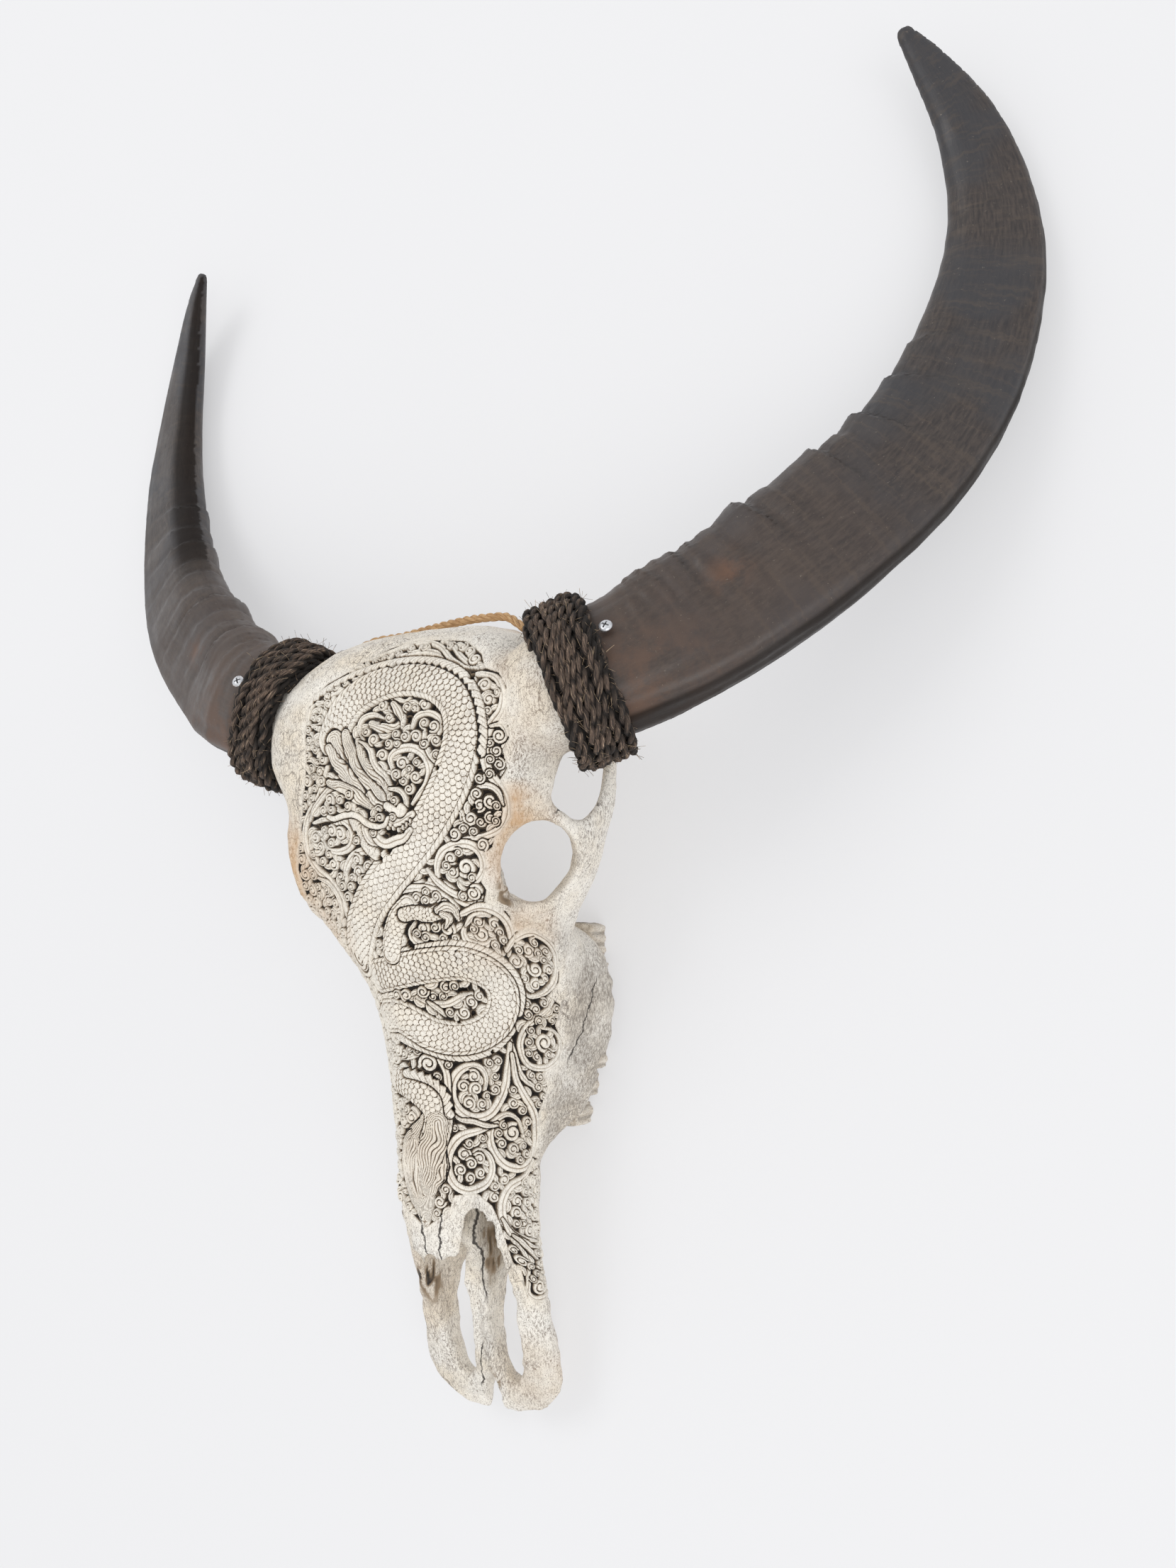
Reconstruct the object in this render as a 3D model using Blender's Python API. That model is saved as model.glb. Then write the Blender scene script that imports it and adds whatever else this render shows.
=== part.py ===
"""Carved buffalo skull with its horns, lying on its cheek teeth and the undersides of both horns.

The face looks up (+Z), the muzzle points along -Y and the horns sweep out along +X and -X.
Sizes are millimetres in the tables below, measured from the poll (Y) and from the table top (Z).
"""

import math

import bmesh
import bpy
from mathutils import Matrix, Vector

# Driving dimensions, in millimetres.
MM = 0.001
POLL_TO_ORIGIN = 77.2      # the poll lies this far behind the middle of the object's length
CLEARANCE = 0.4            # gap kept between pieces that touch
RING_POINTS = 4            # points drawn between two section points of a loft
VOXEL = 3.2                # grain at which the bone's masses are fused
BONE_TRIANGLES = 4200      # what the fused bone is thinned to

# One section of the braincase and face each: how far along Y, the height of the midline above,
# then shoulder, side, edge, lower side and base as (half width, height), and the midline below.
BONE_SECTIONS = (
    (-529, 29, (10, 29), (19, 28), (25, 26.5), (25, 25), (17, 23), 23),
    (-523.5, 33, (17, 32), (29, 31), (38, 28.5), (38, 25), (27, 21.5), 21),
    (-512, 37, (22, 36), (36, 35), (50, 31), (50, 27), (36, 22), 22),
    (-500, 41, (24, 41), (40, 40), (54, 34.5), (54.5, 30), (40, 24), 23),
    (-485, 47, (28, 47), (41, 45), (53.5, 39), (54, 33), (43, 26.5), 25),
    (-470, 53, (30, 52), (41, 50), (52, 44), (51, 36.5), (40, 28.5), 27),
    (-455, 60, (31, 58), (42, 56), (51, 48.5), (49, 39.5), (37, 30), 28),
    (-440, 68, (31, 66), (42, 63), (51, 53), (47.5, 41), (34, 30), 28),
    (-425, 79, (30, 78), (39, 73), (50.5, 59), (46, 43), (31, 30.5), 28),
    (-402, 93, (28, 92), (36, 86), (48.5, 64), (44, 46), (29, 31), 28),
    (-379, 104, (25, 104), (35, 91), (46.5, 66), (43, 46), (30, 31), 28),
    (-372, 116, (22, 110), (35, 91), (46, 66), (43, 46), (31, 31), 28),
    (-352, 121, (23, 113), (38, 92), (48, 67), (45, 47), (36, 31), 28),
    (-328, 126, (23, 117), (40, 92), (53, 68), (56, 45), (57, 22), 28),
    (-280, 137, (27, 122), (44, 97), (62, 75), (71, 50), (72, 17), 30),
    (-240, 148, (34, 131), (54, 105), (71, 84), (77, 56), (75, 17), 34),
    (-205, 158, (50, 146), (72, 123), (81, 104), (76, 70), (62, 24), 38),
    (-175, 166, (62, 160), (84, 143), (85, 132), (44, 100), (28, 50), 42),
    (-145, 174, (66, 166), (88, 144), (93, 130), (46, 104), (28, 56), 44),
    (-120, 178, (72, 168), (92, 148), (101, 128), (52, 106), (30, 60), 44),
    (-95, 180, (80, 170), (106, 150), (110, 128), (62, 106), (40, 60), 42),
    (-70, 178, (84, 170), (109, 149), (112, 126), (68, 102), (50, 54), 38),
    (-46, 172, (78, 164), (101, 144), (104, 122), (68, 94), (50, 48), 36),
    (-20, 155, (60, 149), (80, 130), (82, 112), (60, 84), (42, 50), 38),
    (-5, 133, (42, 127), (56, 112), (58, 100), (44, 76), (30, 56), 46),
)

# Left eye socket: middle of its rim, the way that the rim faces, and the rim's radius.
EYE_CENTRE = (88, -159, 131.5)
EYE_FACES = (0.86, -0.27, 0.42)
EYE_RADIUS = 31

# Centre line of each horn from its base to its tip, with half width and half depth there.
# The right horn is written as if it were on the left and is mirrored when it is drawn.
HORN_LINES = {
    "left": (
        (121, -54, 137, 41, 34), (150, -41, 124, 43.5, 34), (187, -19, 108, 46, 33),
        (223, 6, 93, 47, 31.5), (262.5, 38, 76, 46.5, 29), (300.5, 75.5, 55, 43.5, 26), (333, 129, 35, 39.5, 22),
        (353, 195, 21.9, 33.5, 18.5), (355, 250, 17, 27, 15), (343, 305, 21.5, 20, 11.5), (323, 346, 33, 12, 8),
        (308, 371, 43, 4.5, 3.6),
    ),
    "right": (
        (113, -53, 126, 41, 36), (134, -45, 128.5, 43, 35), (162, -33, 121, 43.5, 33.5),
        (190, -16, 107.5, 43, 32), (223, 6, 93, 43, 31), (263, 38, 76, 43, 28.5), (301, 75, 55, 42, 25.5),
        (333.5, 128, 35, 38.5, 22), (353, 195, 21.9, 33, 18.5), (355, 250, 17, 27, 15),
        (343, 305, 21.5, 20, 11.5), (325, 346, 33, 12, 8), (308, 371, 43, 4.5, 3.6),
    ),
}
HORN_RINGS = 25
HORN_SIDES = 18
SOCKET_DEPTH = 46          # how far the bony core reaches into the horn
SOCKET_SHARE = 0.74        # socket size as a share of the horn's base
CORE_PLAY = 1.2            # room between the core and its socket

BINDING_REACH = {"left": (-17, 25), "right": (-19, 19)}   # stretch of the horn's axis under rope
BINDING_TURNS = 7
BINDING_LIFT = 3.4         # room between the rope's sleeve and the horn's base
BINDING_ROPE = 7.6         # how far a turn of rope stands above the horn

# Cheek teeth from the back: middle along Y, length along Y, middle along X, half width.
CHEEK_TEETH = (
    (-209.5, 26, 60.5, 13), (-237, 27, 62.5, 13), (-265.5, 28, 64, 12.5), (-290, 18, 63, 11),
    (-309, 17, 58, 9.5), (-328.5, 17, 53.5, 8.5),
)
TOOTH_HEIGHT = 24
TOOTH_TAPER = 0.9

SCREW_HEAD_RADIUS = 4.2
CORD_RADIUS = 3.0

BONE = ((0.78, 0.72, 0.62), 0.7)
TOOTH = ((0.74, 0.64, 0.46), 0.45)
HORN = ((0.11, 0.09, 0.08), 0.45)
ROPE = ((0.12, 0.085, 0.06), 0.95)
CORD = ((0.66, 0.45, 0.24), 0.9)
ZINC = ((0.75, 0.76, 0.78), 0.3)


def metres(point):
    """A point of the millimetre tables, in metres from the object's origin."""
    x, y, z = point
    return Vector((x, y + POLL_TO_ORIGIN, z)) * MM


def clear_scene():
    for obj in list(bpy.data.objects):
        bpy.data.objects.remove(obj)


def material(name, look, metallic=0.0):
    colour, roughness = look
    made = bpy.data.materials.get(name) or bpy.data.materials.new(name)
    made.use_nodes = True
    shader = made.node_tree.nodes["Principled BSDF"]
    shader.inputs["Base Color"].default_value = (*colour, 1)
    shader.inputs["Roughness"].default_value = roughness
    shader.inputs["Metallic"].default_value = metallic
    return made


def catmull(points, steps, closed=False):
    """Points along a smooth curve through the given tuples or vectors of any length."""
    points = [Vector(p) for p in points]
    count = len(points)
    found = []
    for i in range(count if closed else count - 1):
        if closed:
            a, b, c, d = (points[(i + k) % count] for k in (-1, 0, 1, 2))
        else:
            b, c = points[i], points[i + 1]
            a = points[i - 1] if i else b * 2 - c
            d = points[i + 2] if i + 2 < count else c * 2 - b
        for k in range(steps):
            t = k / steps
            found.append(
                0.5 * (2 * b + (c - a) * t + (2 * a - 5 * b + 4 * c - d) * t * t
                       + (3 * b - a - 3 * c + d) * t * t * t)
            )
    if not closed:
        found.append(points[-1])
    return found


def along(points, count):
    """A smooth curve's points again, this many and evenly spaced."""
    fine = catmull(points, 12)
    reach = [0.0]
    for a, b in zip(fine, fine[1:]):
        reach.append(reach[-1] + (Vector(b[:3]) - Vector(a[:3])).length)
    found, k = [], 0
    for i in range(count):
        want = reach[-1] * i / (count - 1)
        while k < len(reach) - 2 and reach[k + 1] < want:
            k += 1
        span = max(reach[k + 1] - reach[k], 1e-9)
        found.append(fine[k].lerp(fine[k + 1], min(1, max(0, (want - reach[k]) / span))))
    return found


def solid(name, rings, look=None):
    """An object from rings of points, bridged one to the next and closed at both ends."""
    mesh = bmesh.new()
    loops = [[mesh.verts.new(metres(p)) for p in ring] for ring in rings]
    sides = len(loops[0])
    for low, high in zip(loops, loops[1:]):
        for i in range(sides):
            j = (i + 1) % sides
            mesh.faces.new((low[i], low[j], high[j], high[i]))
    mesh.faces.new(list(reversed(loops[0])))
    mesh.faces.new(loops[-1])
    bmesh.ops.recalc_face_normals(mesh, faces=mesh.faces)
    data = bpy.data.meshes.new(name)
    mesh.to_mesh(data)
    mesh.free()
    data.shade_smooth()
    made = bpy.data.objects.new(name, data)
    bpy.context.scene.collection.objects.link(made)
    if look:
        data.materials.append(look)
    return made


def helper(made):
    """Marks a cutter or a mass that other objects are made from."""
    made.hide_render = True
    made.display_type = "WIRE"
    return made


def frames(path, up):
    """(point, side, up) along a path, with up kept as near the given direction as it can be."""
    found = []
    for i, point in enumerate(path):
        ahead = path[min(i + 1, len(path) - 1)] - path[max(i - 1, 0)]
        ahead.normalize()
        side = ahead.cross(Vector(up)).normalized()
        found.append((point, side, side.cross(ahead).normalized()))
    return found


def swept(name, stations, up, count=24, sides=18):
    """A rounded bar through stations of (x, y, z, half width, half height)."""
    fine = along(stations, count)
    rings = []
    for (point, side, high), row in zip(frames([Vector(p[:3]) for p in fine], up), fine):
        turn = [2 * math.pi * i / sides for i in range(sides)]
        rings.append([point + side * math.cos(a) * row[3] + high * math.sin(a) * row[4] for a in turn])
    return helper(solid(name, rings))


def blob(name, centre, radii, turn=(0, 0, 0), sides=20):
    """An ellipsoid, turned by degrees about X, Y and Z."""
    spin = Matrix.Rotation(math.radians(turn[2]), 3, "Z") @ Matrix.Rotation(math.radians(turn[1]), 3, "Y")
    spin = spin @ Matrix.Rotation(math.radians(turn[0]), 3, "X")
    rings = []
    for i in range(1, sides):
        tilt = math.pi * i / sides
        ring = []
        for k in range(sides):
            a = 2 * math.pi * k / sides
            local = Vector((math.sin(tilt) * math.cos(a) * radii[0], math.sin(tilt) * math.sin(a) * radii[1],
                            math.cos(tilt) * radii[2]))
            ring.append(Vector(centre) + spin @ local)
        rings.append(ring)
    return helper(solid(name, rings))


def both_sides(make, name, *rows, **more):
    """The same mass on the left (+X) and mirrored on the right (-X)."""
    made = [make(name + "_left", *rows, **more)]
    flipped = []
    for row in rows:
        if isinstance(row[0], (tuple, list)):
            flipped.append([(-r[0], *r[1:]) for r in row])
        else:
            flipped.append((-row[0], *row[1:]))
    made.append(make(name + "_right", *flipped, **more))
    return made


def body_mass():
    """Braincase and face as one loft through the sections."""
    rows = []
    for y, top, shoulder, side, edge, lower, base, below in BONE_SECTIONS:
        rows.append((y, top, *shoulder, *side, *edge, *lower, *base, below))
    rings = []
    for row in catmull([Vector(r) for r in rows], 5):
        y, top, below = row[0], row[1], row[12]
        half = [(row[i], row[i + 1]) for i in (2, 4, 6, 8, 10)]
        outline = [(0, top), *half, (0, below), *[(-x, z) for x, z in reversed(half)]]
        rings.append([(p[0], y, p[1]) for p in catmull([Vector((x, z, 0)) for x, z in outline],
                                                     RING_POINTS, closed=True)])
    return helper(solid("body_mass", rings))


def nose_masses():
    """Thin plates that roof the nose and end in four points, and the rods that stand in its floor."""
    inner = ((6, -360, 113, 8, 4), (6, -385, 111, 8, 3.4), (5.5, -405, 108, 6.5, 3), (5, -424, 105, 2.6, 2.4))
    outer = ((22, -360, 108, 12, 4.5), (18.5, -379, 107.5, 9.5, 3.8), (17, -397, 105, 7, 3.2),
             (16.5, -415, 102.5, 2.6, 2.4))
    rod = ((3.2, -330, 44, 3.4, 16), (3.2, -395, 44, 3.6, 15), (3.3, -415, 50, 3.8, 8), (3.6, -430, 50, 4, 5.5),
           (3.8, -455, 46.5, 4.2, 5.2), (4.4, -480, 40, 4.8, 5.2), (8, -500, 33, 6.5, 6))
    found = both_sides(swept, "nose_point_inner", inner, up=(0, 0, 1))
    found += both_sides(swept, "nose_point_outer", outer, up=(0, 0, 1))
    return found + both_sides(swept, "rod", rod, up=(0, 0, 1))


def cheek_masses():
    """Cheek arch from the upper jaw round below the eye and back to the ear, and the bar behind the eye."""
    arch = ((66, -232, 82, 10, 18), (77, -207, 86, 9, 19), (84, -190, 88, 8, 20), (94, -176, 92, 7, 21),
            (103, -162, 94, 6.2, 21), (107.5, -150, 94, 5.8, 20), (110.5, -139, 92, 5.4, 18),
            (113.5, -126, 84, 5, 12.5), (115, -112, 81, 5, 9.5), (114.5, -98, 78, 5, 7), (111, -84, 74, 5.5, 7),
            (103, -68, 70, 7, 8), (90, -50, 68, 10, 9), (70, -36, 66, 14, 12))
    bar = ((70, -126, 149, 10, 9), (84, -130, 139, 6, 7.5), (97, -135, 125, 5.5, 7), (105, -141, 113, 5.5, 8),
           (107, -146, 100, 5.5, 9))
    found = both_sides(swept, "arch", arch, up=(0, 0, 1), count=34)
    found += both_sides(swept, "bar", bar, up=(0.2, 1, 0.3))
    return found + both_sides(swept, "eye_rim", eye_ring(), up=EYE_FACES, count=44, sides=12)


def eye_ring():
    """Stations round the rim of the left eye socket."""
    out = Vector(EYE_FACES).normalized()
    across = out.cross(Vector((0, 0, 1))).normalized()
    rise = across.cross(out)
    found = []
    for i in range(25):
        a = 2 * math.pi * i / 24
        point = Vector(EYE_CENTRE) + across * math.cos(a) * EYE_RADIUS + rise * math.sin(a) * EYE_RADIUS
        found.append((*point, 6.2, 5.4))
    return found


def base_masses():
    """Underside of the braincase: condyles, ear bones, the wings beside them and the palate's rear plates."""
    found = both_sides(blob, "condyle", (18, -9, 50), (15, 14, 18))
    found += both_sides(blob, "ear_bone", (38, -42, 50), (13, 17, 16))
    found += both_sides(blob, "ear_wing", (60, -34, 64), (22, 16, 20))
    wing = ((44, -22, 70, 12, 8), (43, -18, 52, 9, 7), (41, -17, 34, 5, 5), (40, -18, 24, 3, 3))
    found += both_sides(swept, "wing", wing, up=(0, 1, 0))
    plate = ((30, -232, 40, 4, 16), (27, -205, 38, 3.5, 16), (25, -180, 44, 3.5, 18), (24, -155, 56, 5, 16))
    found += both_sides(swept, "plate", plate, up=(0, 0, 1))
    found.append(swept("skull_base", ((0, -140, 58, 18, 14), (0, -80, 52, 20, 14), (0, -30, 46, 20, 12),
                                      (0, -10, 46, 16, 10)), up=(0, 0, 1)))
    return found


def horn_frames(side, count):
    """(centre, width axis, depth axis, half width, half depth) along one horn, base to tip."""
    rows = along([Vector(r) for r in HORN_LINES[side]], count)
    path = [Vector(r[:3]) for r in rows]
    # The horn's broad face lies in the plane of its own sweep, which looks up and inward.
    found = []
    for i, row in enumerate(rows):
        ahead = (path[min(i + 1, count - 1)] - path[max(i - 1, 0)]).normalized()
        across = ahead.cross(Vector((0.30, 0.12, 1))).normalized()
        found.append((path[i], across, across.cross(ahead).normalized(), row[3], row[4]))
    return found


def horn_outline(frame, keel_share):
    """One ring of the horn: a flat broad face above, a blunt keel on the outer edge, round below."""
    centre, across, deep, half_width, half_depth = frame
    ring = []
    for i in range(HORN_SIDES):
        a = 2 * math.pi * i / HORN_SIDES
        c, s = math.cos(a), math.sin(a)
        flat = 1 - keel_share * 0.2 * (1 - abs(c)) if s > 0 else 1.0
        keel = 1.0 + keel_share * 0.05 * max(0.0, math.cos(a - math.radians(35))) ** 6
        ring.append(centre + across * c * keel * half_width + deep * s * flat * keel * half_depth)
    return ring


def mirrored(rings):
    return [[Vector((-p.x, p.y, p.z)) for p in ring] for ring in rings]


def placed(side, rings):
    """Rings drawn for the left, moved over if they belong on the right."""
    return mirrored(rings) if side == "right" else rings


def horn_base_axis(side):
    """Where a horn's base sits, the way that it points, and its two half sizes."""
    centre, across, deep, half_width, half_depth = horn_frames(side, HORN_RINGS)[0]
    return centre, across.cross(deep).normalized() * -1, across, deep, half_width, half_depth


def axial_ring(side, station, half_width, half_depth, sides=20):
    """An ellipse round the horn's straight base axis, at a station in millimetres along it."""
    centre, ahead, across, deep, _, _ = horn_base_axis(side)
    turn = [2 * math.pi * i / sides for i in range(sides)]
    middle = centre + ahead * station
    return [middle + across * math.cos(a) * half_width + deep * math.sin(a) * half_depth for a in turn]


def horn_rings(side):
    """Outside of one horn from its socket's floor, out over the base's edge and on to the tip."""
    along_horn = horn_frames(side, HORN_RINGS)
    half_width, half_depth = along_horn[0][3:]
    inner = []
    for share in (1.0, 0.5, 0.0):
        narrow = SOCKET_SHARE * (1 - 0.35 * share)
        inner.append(axial_ring(side, SOCKET_DEPTH * share, half_width * narrow, half_depth * narrow, HORN_SIDES))
    outer = []
    # Growth rings: the inner edge of the lower half of the horn is wrinkled.
    for i, frame in enumerate(along_horn):
        share = i / (HORN_RINGS - 1)
        ring = horn_outline(frame, min(1.0, share * 6))
        lump = 0.035 * math.sin(i * 2.4) * max(0.0, 1 - share / 0.62) * min(1.0, share * 8)
        for k, point in enumerate(ring):
            inward = max(0.0, -math.cos(2 * math.pi * k / HORN_SIDES))
            ring[k] = frame[0] + (point - frame[0]) * (1 + lump * inward)
        outer.append(ring)
    return inner + outer


def horns(look):
    return [solid("horn_" + side, placed(side, horn_rings(side)), look) for side in HORN_LINES]


def core_rings(side):
    """Bony core of a horn, from inside the skull's corner out into the horn's socket."""
    _, _, _, _, half_width, half_depth = horn_base_axis(side)
    found = []
    for station in (-16, 0, SOCKET_DEPTH * 0.5, SOCKET_DEPTH - 3):
        share = max(0.0, station) / SOCKET_DEPTH
        narrow = SOCKET_SHARE * (1 - 0.35 * share)
        found.append(axial_ring(side, station, half_width * narrow - CORE_PLAY, half_depth * narrow - CORE_PLAY))
    return found


def collar_rings(side):
    """Neck of bone between the brow's corner and the horn."""
    _, _, _, _, half_width, half_depth = horn_base_axis(side)
    return [axial_ring(side, s, half_width * k, half_depth * k)
            for s, k in ((-42, 0.6), (-29, 0.83), (-12, 0.95), (-1, 0.95))]


def binding_rings(side, grow=0.0):
    """Rope round the horn's joint: a sleeve with one ridge for each turn."""
    _, _, _, _, half_width, half_depth = horn_base_axis(side)
    start, end = BINDING_REACH[side]
    length = end - start
    steps = BINDING_TURNS * 2
    inside, outside = [], []
    for i in range(steps + 1):
        share = i / steps
        station = start - grow + (length + 2 * grow) * share
        ridge = abs(math.sin(math.pi * share * BINDING_TURNS))
        swell = 1.0 + 0.25 * math.sin(math.pi * share)
        high = BINDING_ROPE * (0.55 + 0.45 * ridge) * swell + BINDING_LIFT + grow
        outside.append(axial_ring(side, station, half_width + high, half_depth + high))
    inner_lift = BINDING_LIFT - grow
    for i in range(3):
        station = end + grow - (length + 2 * grow) * i / 2
        inside.append(axial_ring(side, station, half_width + inner_lift, half_depth + inner_lift))
    return placed(side, outside), placed(side, inside)


def ring_solid(name, outside, inside, look=None):
    """A closed sleeve: the outside rings out and the inside rings back."""
    mesh = bmesh.new()
    loops = [[mesh.verts.new(metres(p)) for p in ring] for ring in outside + inside]
    sides = len(loops[0])
    for low, high in zip(loops, loops[1:] + loops[:1]):
        for i in range(sides):
            j = (i + 1) % sides
            mesh.faces.new((low[i], low[j], high[j], high[i]))
    bmesh.ops.recalc_face_normals(mesh, faces=mesh.faces)
    data = bpy.data.meshes.new(name)
    mesh.to_mesh(data)
    mesh.free()
    data.shade_smooth()
    made = bpy.data.objects.new(name, data)
    bpy.context.scene.collection.objects.link(made)
    if look:
        data.materials.append(look)
    return made


def bindings(look):
    return [ring_solid("rope_binding_" + side, *binding_rings(side), look) for side in HORN_LINES]


def tooth_rings(row, side, grow=0.0):
    """One cheek tooth: a block with a shallow waist along its outer face, worn flat below."""
    y, length, x, half_width = row
    rings = []
    for height, share in ((0.0 - grow * 4, TOOTH_TAPER), (TOOTH_HEIGHT + grow, 1.0)):
        ring = []
        for i in range(12):
            a = 2 * math.pi * (i + 0.5) / 12
            c, s = math.cos(a), math.sin(a)
            block = (abs(c) ** 5 + abs(s) ** 5) ** -0.2
            waist = 0.93 if abs(c) < 0.3 else 1.0
            ring.append(Vector((x + s * block * waist * (half_width * share + grow),
                                y + c * block * (length / 2 * share - CLEARANCE + grow), height)))
        rings.append(ring)
    return placed(side, rings)


def teeth(look):
    found = []
    for side in HORN_LINES:
        for i, row in enumerate(CHEEK_TEETH):
            found.append(solid(f"tooth_{side}_{i + 1}", tooth_rings(row, side), look))
    return found


def skull(look):
    """The bone: masses fused on a fine grid, hollowed, thinned, then cleared for what fits on it."""
    masses = [body_mass(), *cheek_masses(), *base_masses()]
    masses += [helper(solid("collar_" + side, placed(side, collar_rings(side)))) for side in HORN_LINES]
    bone = join("skull", masses, look)
    fuse(bone, "fuse")
    for made in hollows():
        cut(bone, made)
    plates = helper(join("nose_plates", nose_masses(), look))
    fuse(plates, "fuse")
    cut(bone, plates, "UNION")
    fuse(bone, "round_edges")
    thin = bone.modifiers.new("thin", "DECIMATE")
    thin.ratio = share_to_keep(bone)
    for side in HORN_LINES:
        cut(bone, helper(solid("horn_room_" + side, placed(side, horn_room_rings(side)))))
        cut(bone, helper(solid("core_" + side, placed(side, core_rings(side)))), "UNION")
        cut(bone, helper(ring_solid("binding_room_" + side, *binding_rings(side, grow=CLEARANCE))))
        for i, row in enumerate(CHEEK_TEETH):
            cut(bone, helper(solid(f"tooth_room_{side}_{i}", tooth_rings(row, side, grow=CLEARANCE))))
    return bone


def horn_room_rings(side):
    """The space that a horn needs, from just behind its base outward."""
    _, _, _, _, half_width, half_depth = horn_base_axis(side)
    return [axial_ring(side, s, half_width * 1.25, half_depth * 1.3) for s in (-CLEARANCE, 70)]


def join(name, masses, look):
    """One object holding a copy of every mass."""
    mesh = bmesh.new()
    for mass in masses:
        mesh.from_mesh(mass.data)
        bpy.data.objects.remove(mass)
    data = bpy.data.meshes.new(name)
    mesh.to_mesh(data)
    mesh.free()
    data.materials.append(look)
    made = bpy.data.objects.new(name, data)
    bpy.context.scene.collection.objects.link(made)
    return made


def fuse(bone, name):
    """One skin over everything that overlaps, with its corners softened."""
    remesh = bone.modifiers.new(name, "REMESH")
    remesh.mode = "VOXEL"
    remesh.voxel_size = VOXEL * MM
    smooth = bone.modifiers.new(name + "_smooth", "SMOOTH")
    smooth.factor = 0.5
    smooth.iterations = 3


def cut(bone, cutter, operation="DIFFERENCE"):
    made = bone.modifiers.new(cutter.name, "BOOLEAN")
    made.operation = operation
    made.object = cutter


def share_to_keep(bone):
    """What share of the fused bone's triangles the thinned one keeps."""
    graph = bpy.context.evaluated_depsgraph_get()
    graph.update()
    found = bone.evaluated_get(graph).to_mesh()
    found.calc_loop_triangles()
    count = len(found.loop_triangles)
    bone.evaluated_get(graph).to_mesh_clear()
    return min(1.0, BONE_TRIANGLES / count)


def hollows():
    """Everything that is open in the bone."""
    side = ((20, -484, 62, 8, 18), (21, -465, 68, 11, 24), (21.5, -440, 74, 13.5, 34), (21, -410, 74, 14, 36),
            (20, -385, 71, 14, 34), (19, -360, 68, 12.5, 31), (17, -310, 70, 11, 30), (15, -260, 74, 9, 24),
            (14, -235, 78, 6, 14))
    middle = ((0, -503, 98, 10, 58), (0, -480, 104, 16, 58), (0, -455, 104, 20, 52), (0, -430, 104, 24, 48),
              (0, -402, 102, 26, 43), (0, -386, 92, 26, 33), (0, -376, 83, 22, 22), (0, -330, 84, 18, 22),
              (0, -280, 88, 14, 22), (0, -240, 94, 10, 18))
    found = both_sides(swept, "nose_side", side, up=(0, 0, 1), count=30, sides=24)
    found.append(swept("nose_middle", middle, up=(0, 0, 1), count=34, sides=24))
    found += both_sides(swept, "eye_depth", ((124, -172, 146, 26, 26), (106, -165, 138, 26, 26),
                                              (82, -158, 120, 26, 26), (61, -154, 92, 25, 26),
                                              (46, -150, 64, 26, 26)), up=(0, 1, 0.1), sides=24)
    temple = ((118, -112, 150, 6, 8), (112, -110, 126, 8, 18), (104, -107, 104, 12, 31), (96, -103, 78, 15, 40),
              (90, -98, 50, 18, 44))
    found += both_sides(swept, "temple_room", temple, up=(0, 1, 0))
    found += both_sides(blob, "fissure", (18.5, -466, 30), (12.5, 41, 60))
    vault = ((0, -360, 16, 26, 14), (0, -330, 12, 32, 20), (0, -280, 10, 38, 24), (0, -235, 10, 40, 26),
             (0, -200, 10, 34, 24))
    found.append(swept("palate_room", vault, up=(0, 0, 1)))
    inner_nose = ((0, -228, 24, 20, 22), (0, -190, 40, 19, 24), (0, -160, 50, 15, 18))
    found.append(swept("inner_nose_room", inner_nose, up=(0, 0, 1)))
    found.append(swept("brain_opening", ((0, 40, 62, 17, 17), (0, 0, 64, 16, 16), (0, -45, 76, 18, 18)), up=(0, 0, 1)))
    found.append(swept("muzzle_gap", ((0, -545, 30, 10, 40), (0, -524, 30, 5.5, 40), (0, -508, 30, 3.4, 40),
                                      (0, -503, 30, 2, 20)), up=(0, 0, 1), sides=12))
    return found


def screws(look):
    """A round-headed screw through each binding and horn into the bony core."""
    return [solid("screw_" + side, placed(side, screw_rings(side)), look) for side in HORN_LINES]


def screw_rings(side):
    """Rings of the screw's head, which stands on the horn at the rope's outer edge."""
    base, ahead, across, deep, _, half_depth = horn_base_axis(side)
    out = (deep * 0.94 - across * 0.34).normalized()
    right = out.cross(ahead).normalized()
    up = right.cross(out)
    seat = base + ahead * (BINDING_REACH[side][1] + SCREW_HEAD_RADIUS + 1.2) + out * (half_depth + 3.4)
    turn = [2 * math.pi * i / 12 for i in range(12)]
    rings = []
    for high, radius in ((2.4, 1.6), (1.6, 3.4), (0.0, SCREW_HEAD_RADIUS)):
        middle = seat + out * high
        rings.append([middle + right * math.cos(a) * radius + up * math.sin(a) * radius for a in turn])
    return rings


def cord(look):
    """Plain tube for the hanging cord, from one binding over the back of the poll to the other."""
    route = cord_route()
    curve = bpy.data.curves.new("hanging_cord", "CURVE")
    curve.dimensions = "3D"
    curve.bevel_depth = CORD_RADIUS * MM
    curve.bevel_resolution = 1
    curve.use_fill_caps = True
    spline = curve.splines.new("POLY")
    spline.points.add(len(route) - 1)
    for point, place in zip(spline.points, route):
        point.co = (*metres(place), 1)
    curve.materials.append(look)
    made = bpy.data.objects.new("hanging_cord", curve)
    bpy.context.scene.collection.objects.link(made)
    return made


def cord_route():
    """Middle line of the cord, close behind the poll from the right binding to the left one."""
    points = ((-76, -8, 108), (-60, 0, 103), (-36, 1.2, 102), (-8, 2.7, 106), (22, 3.7, 110), (44, 2.7, 113),
              (59, 0.5, 114), (73, -9, 116))
    return [tuple(p) for p in along([Vector(p) for p in points], 21)]


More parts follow.
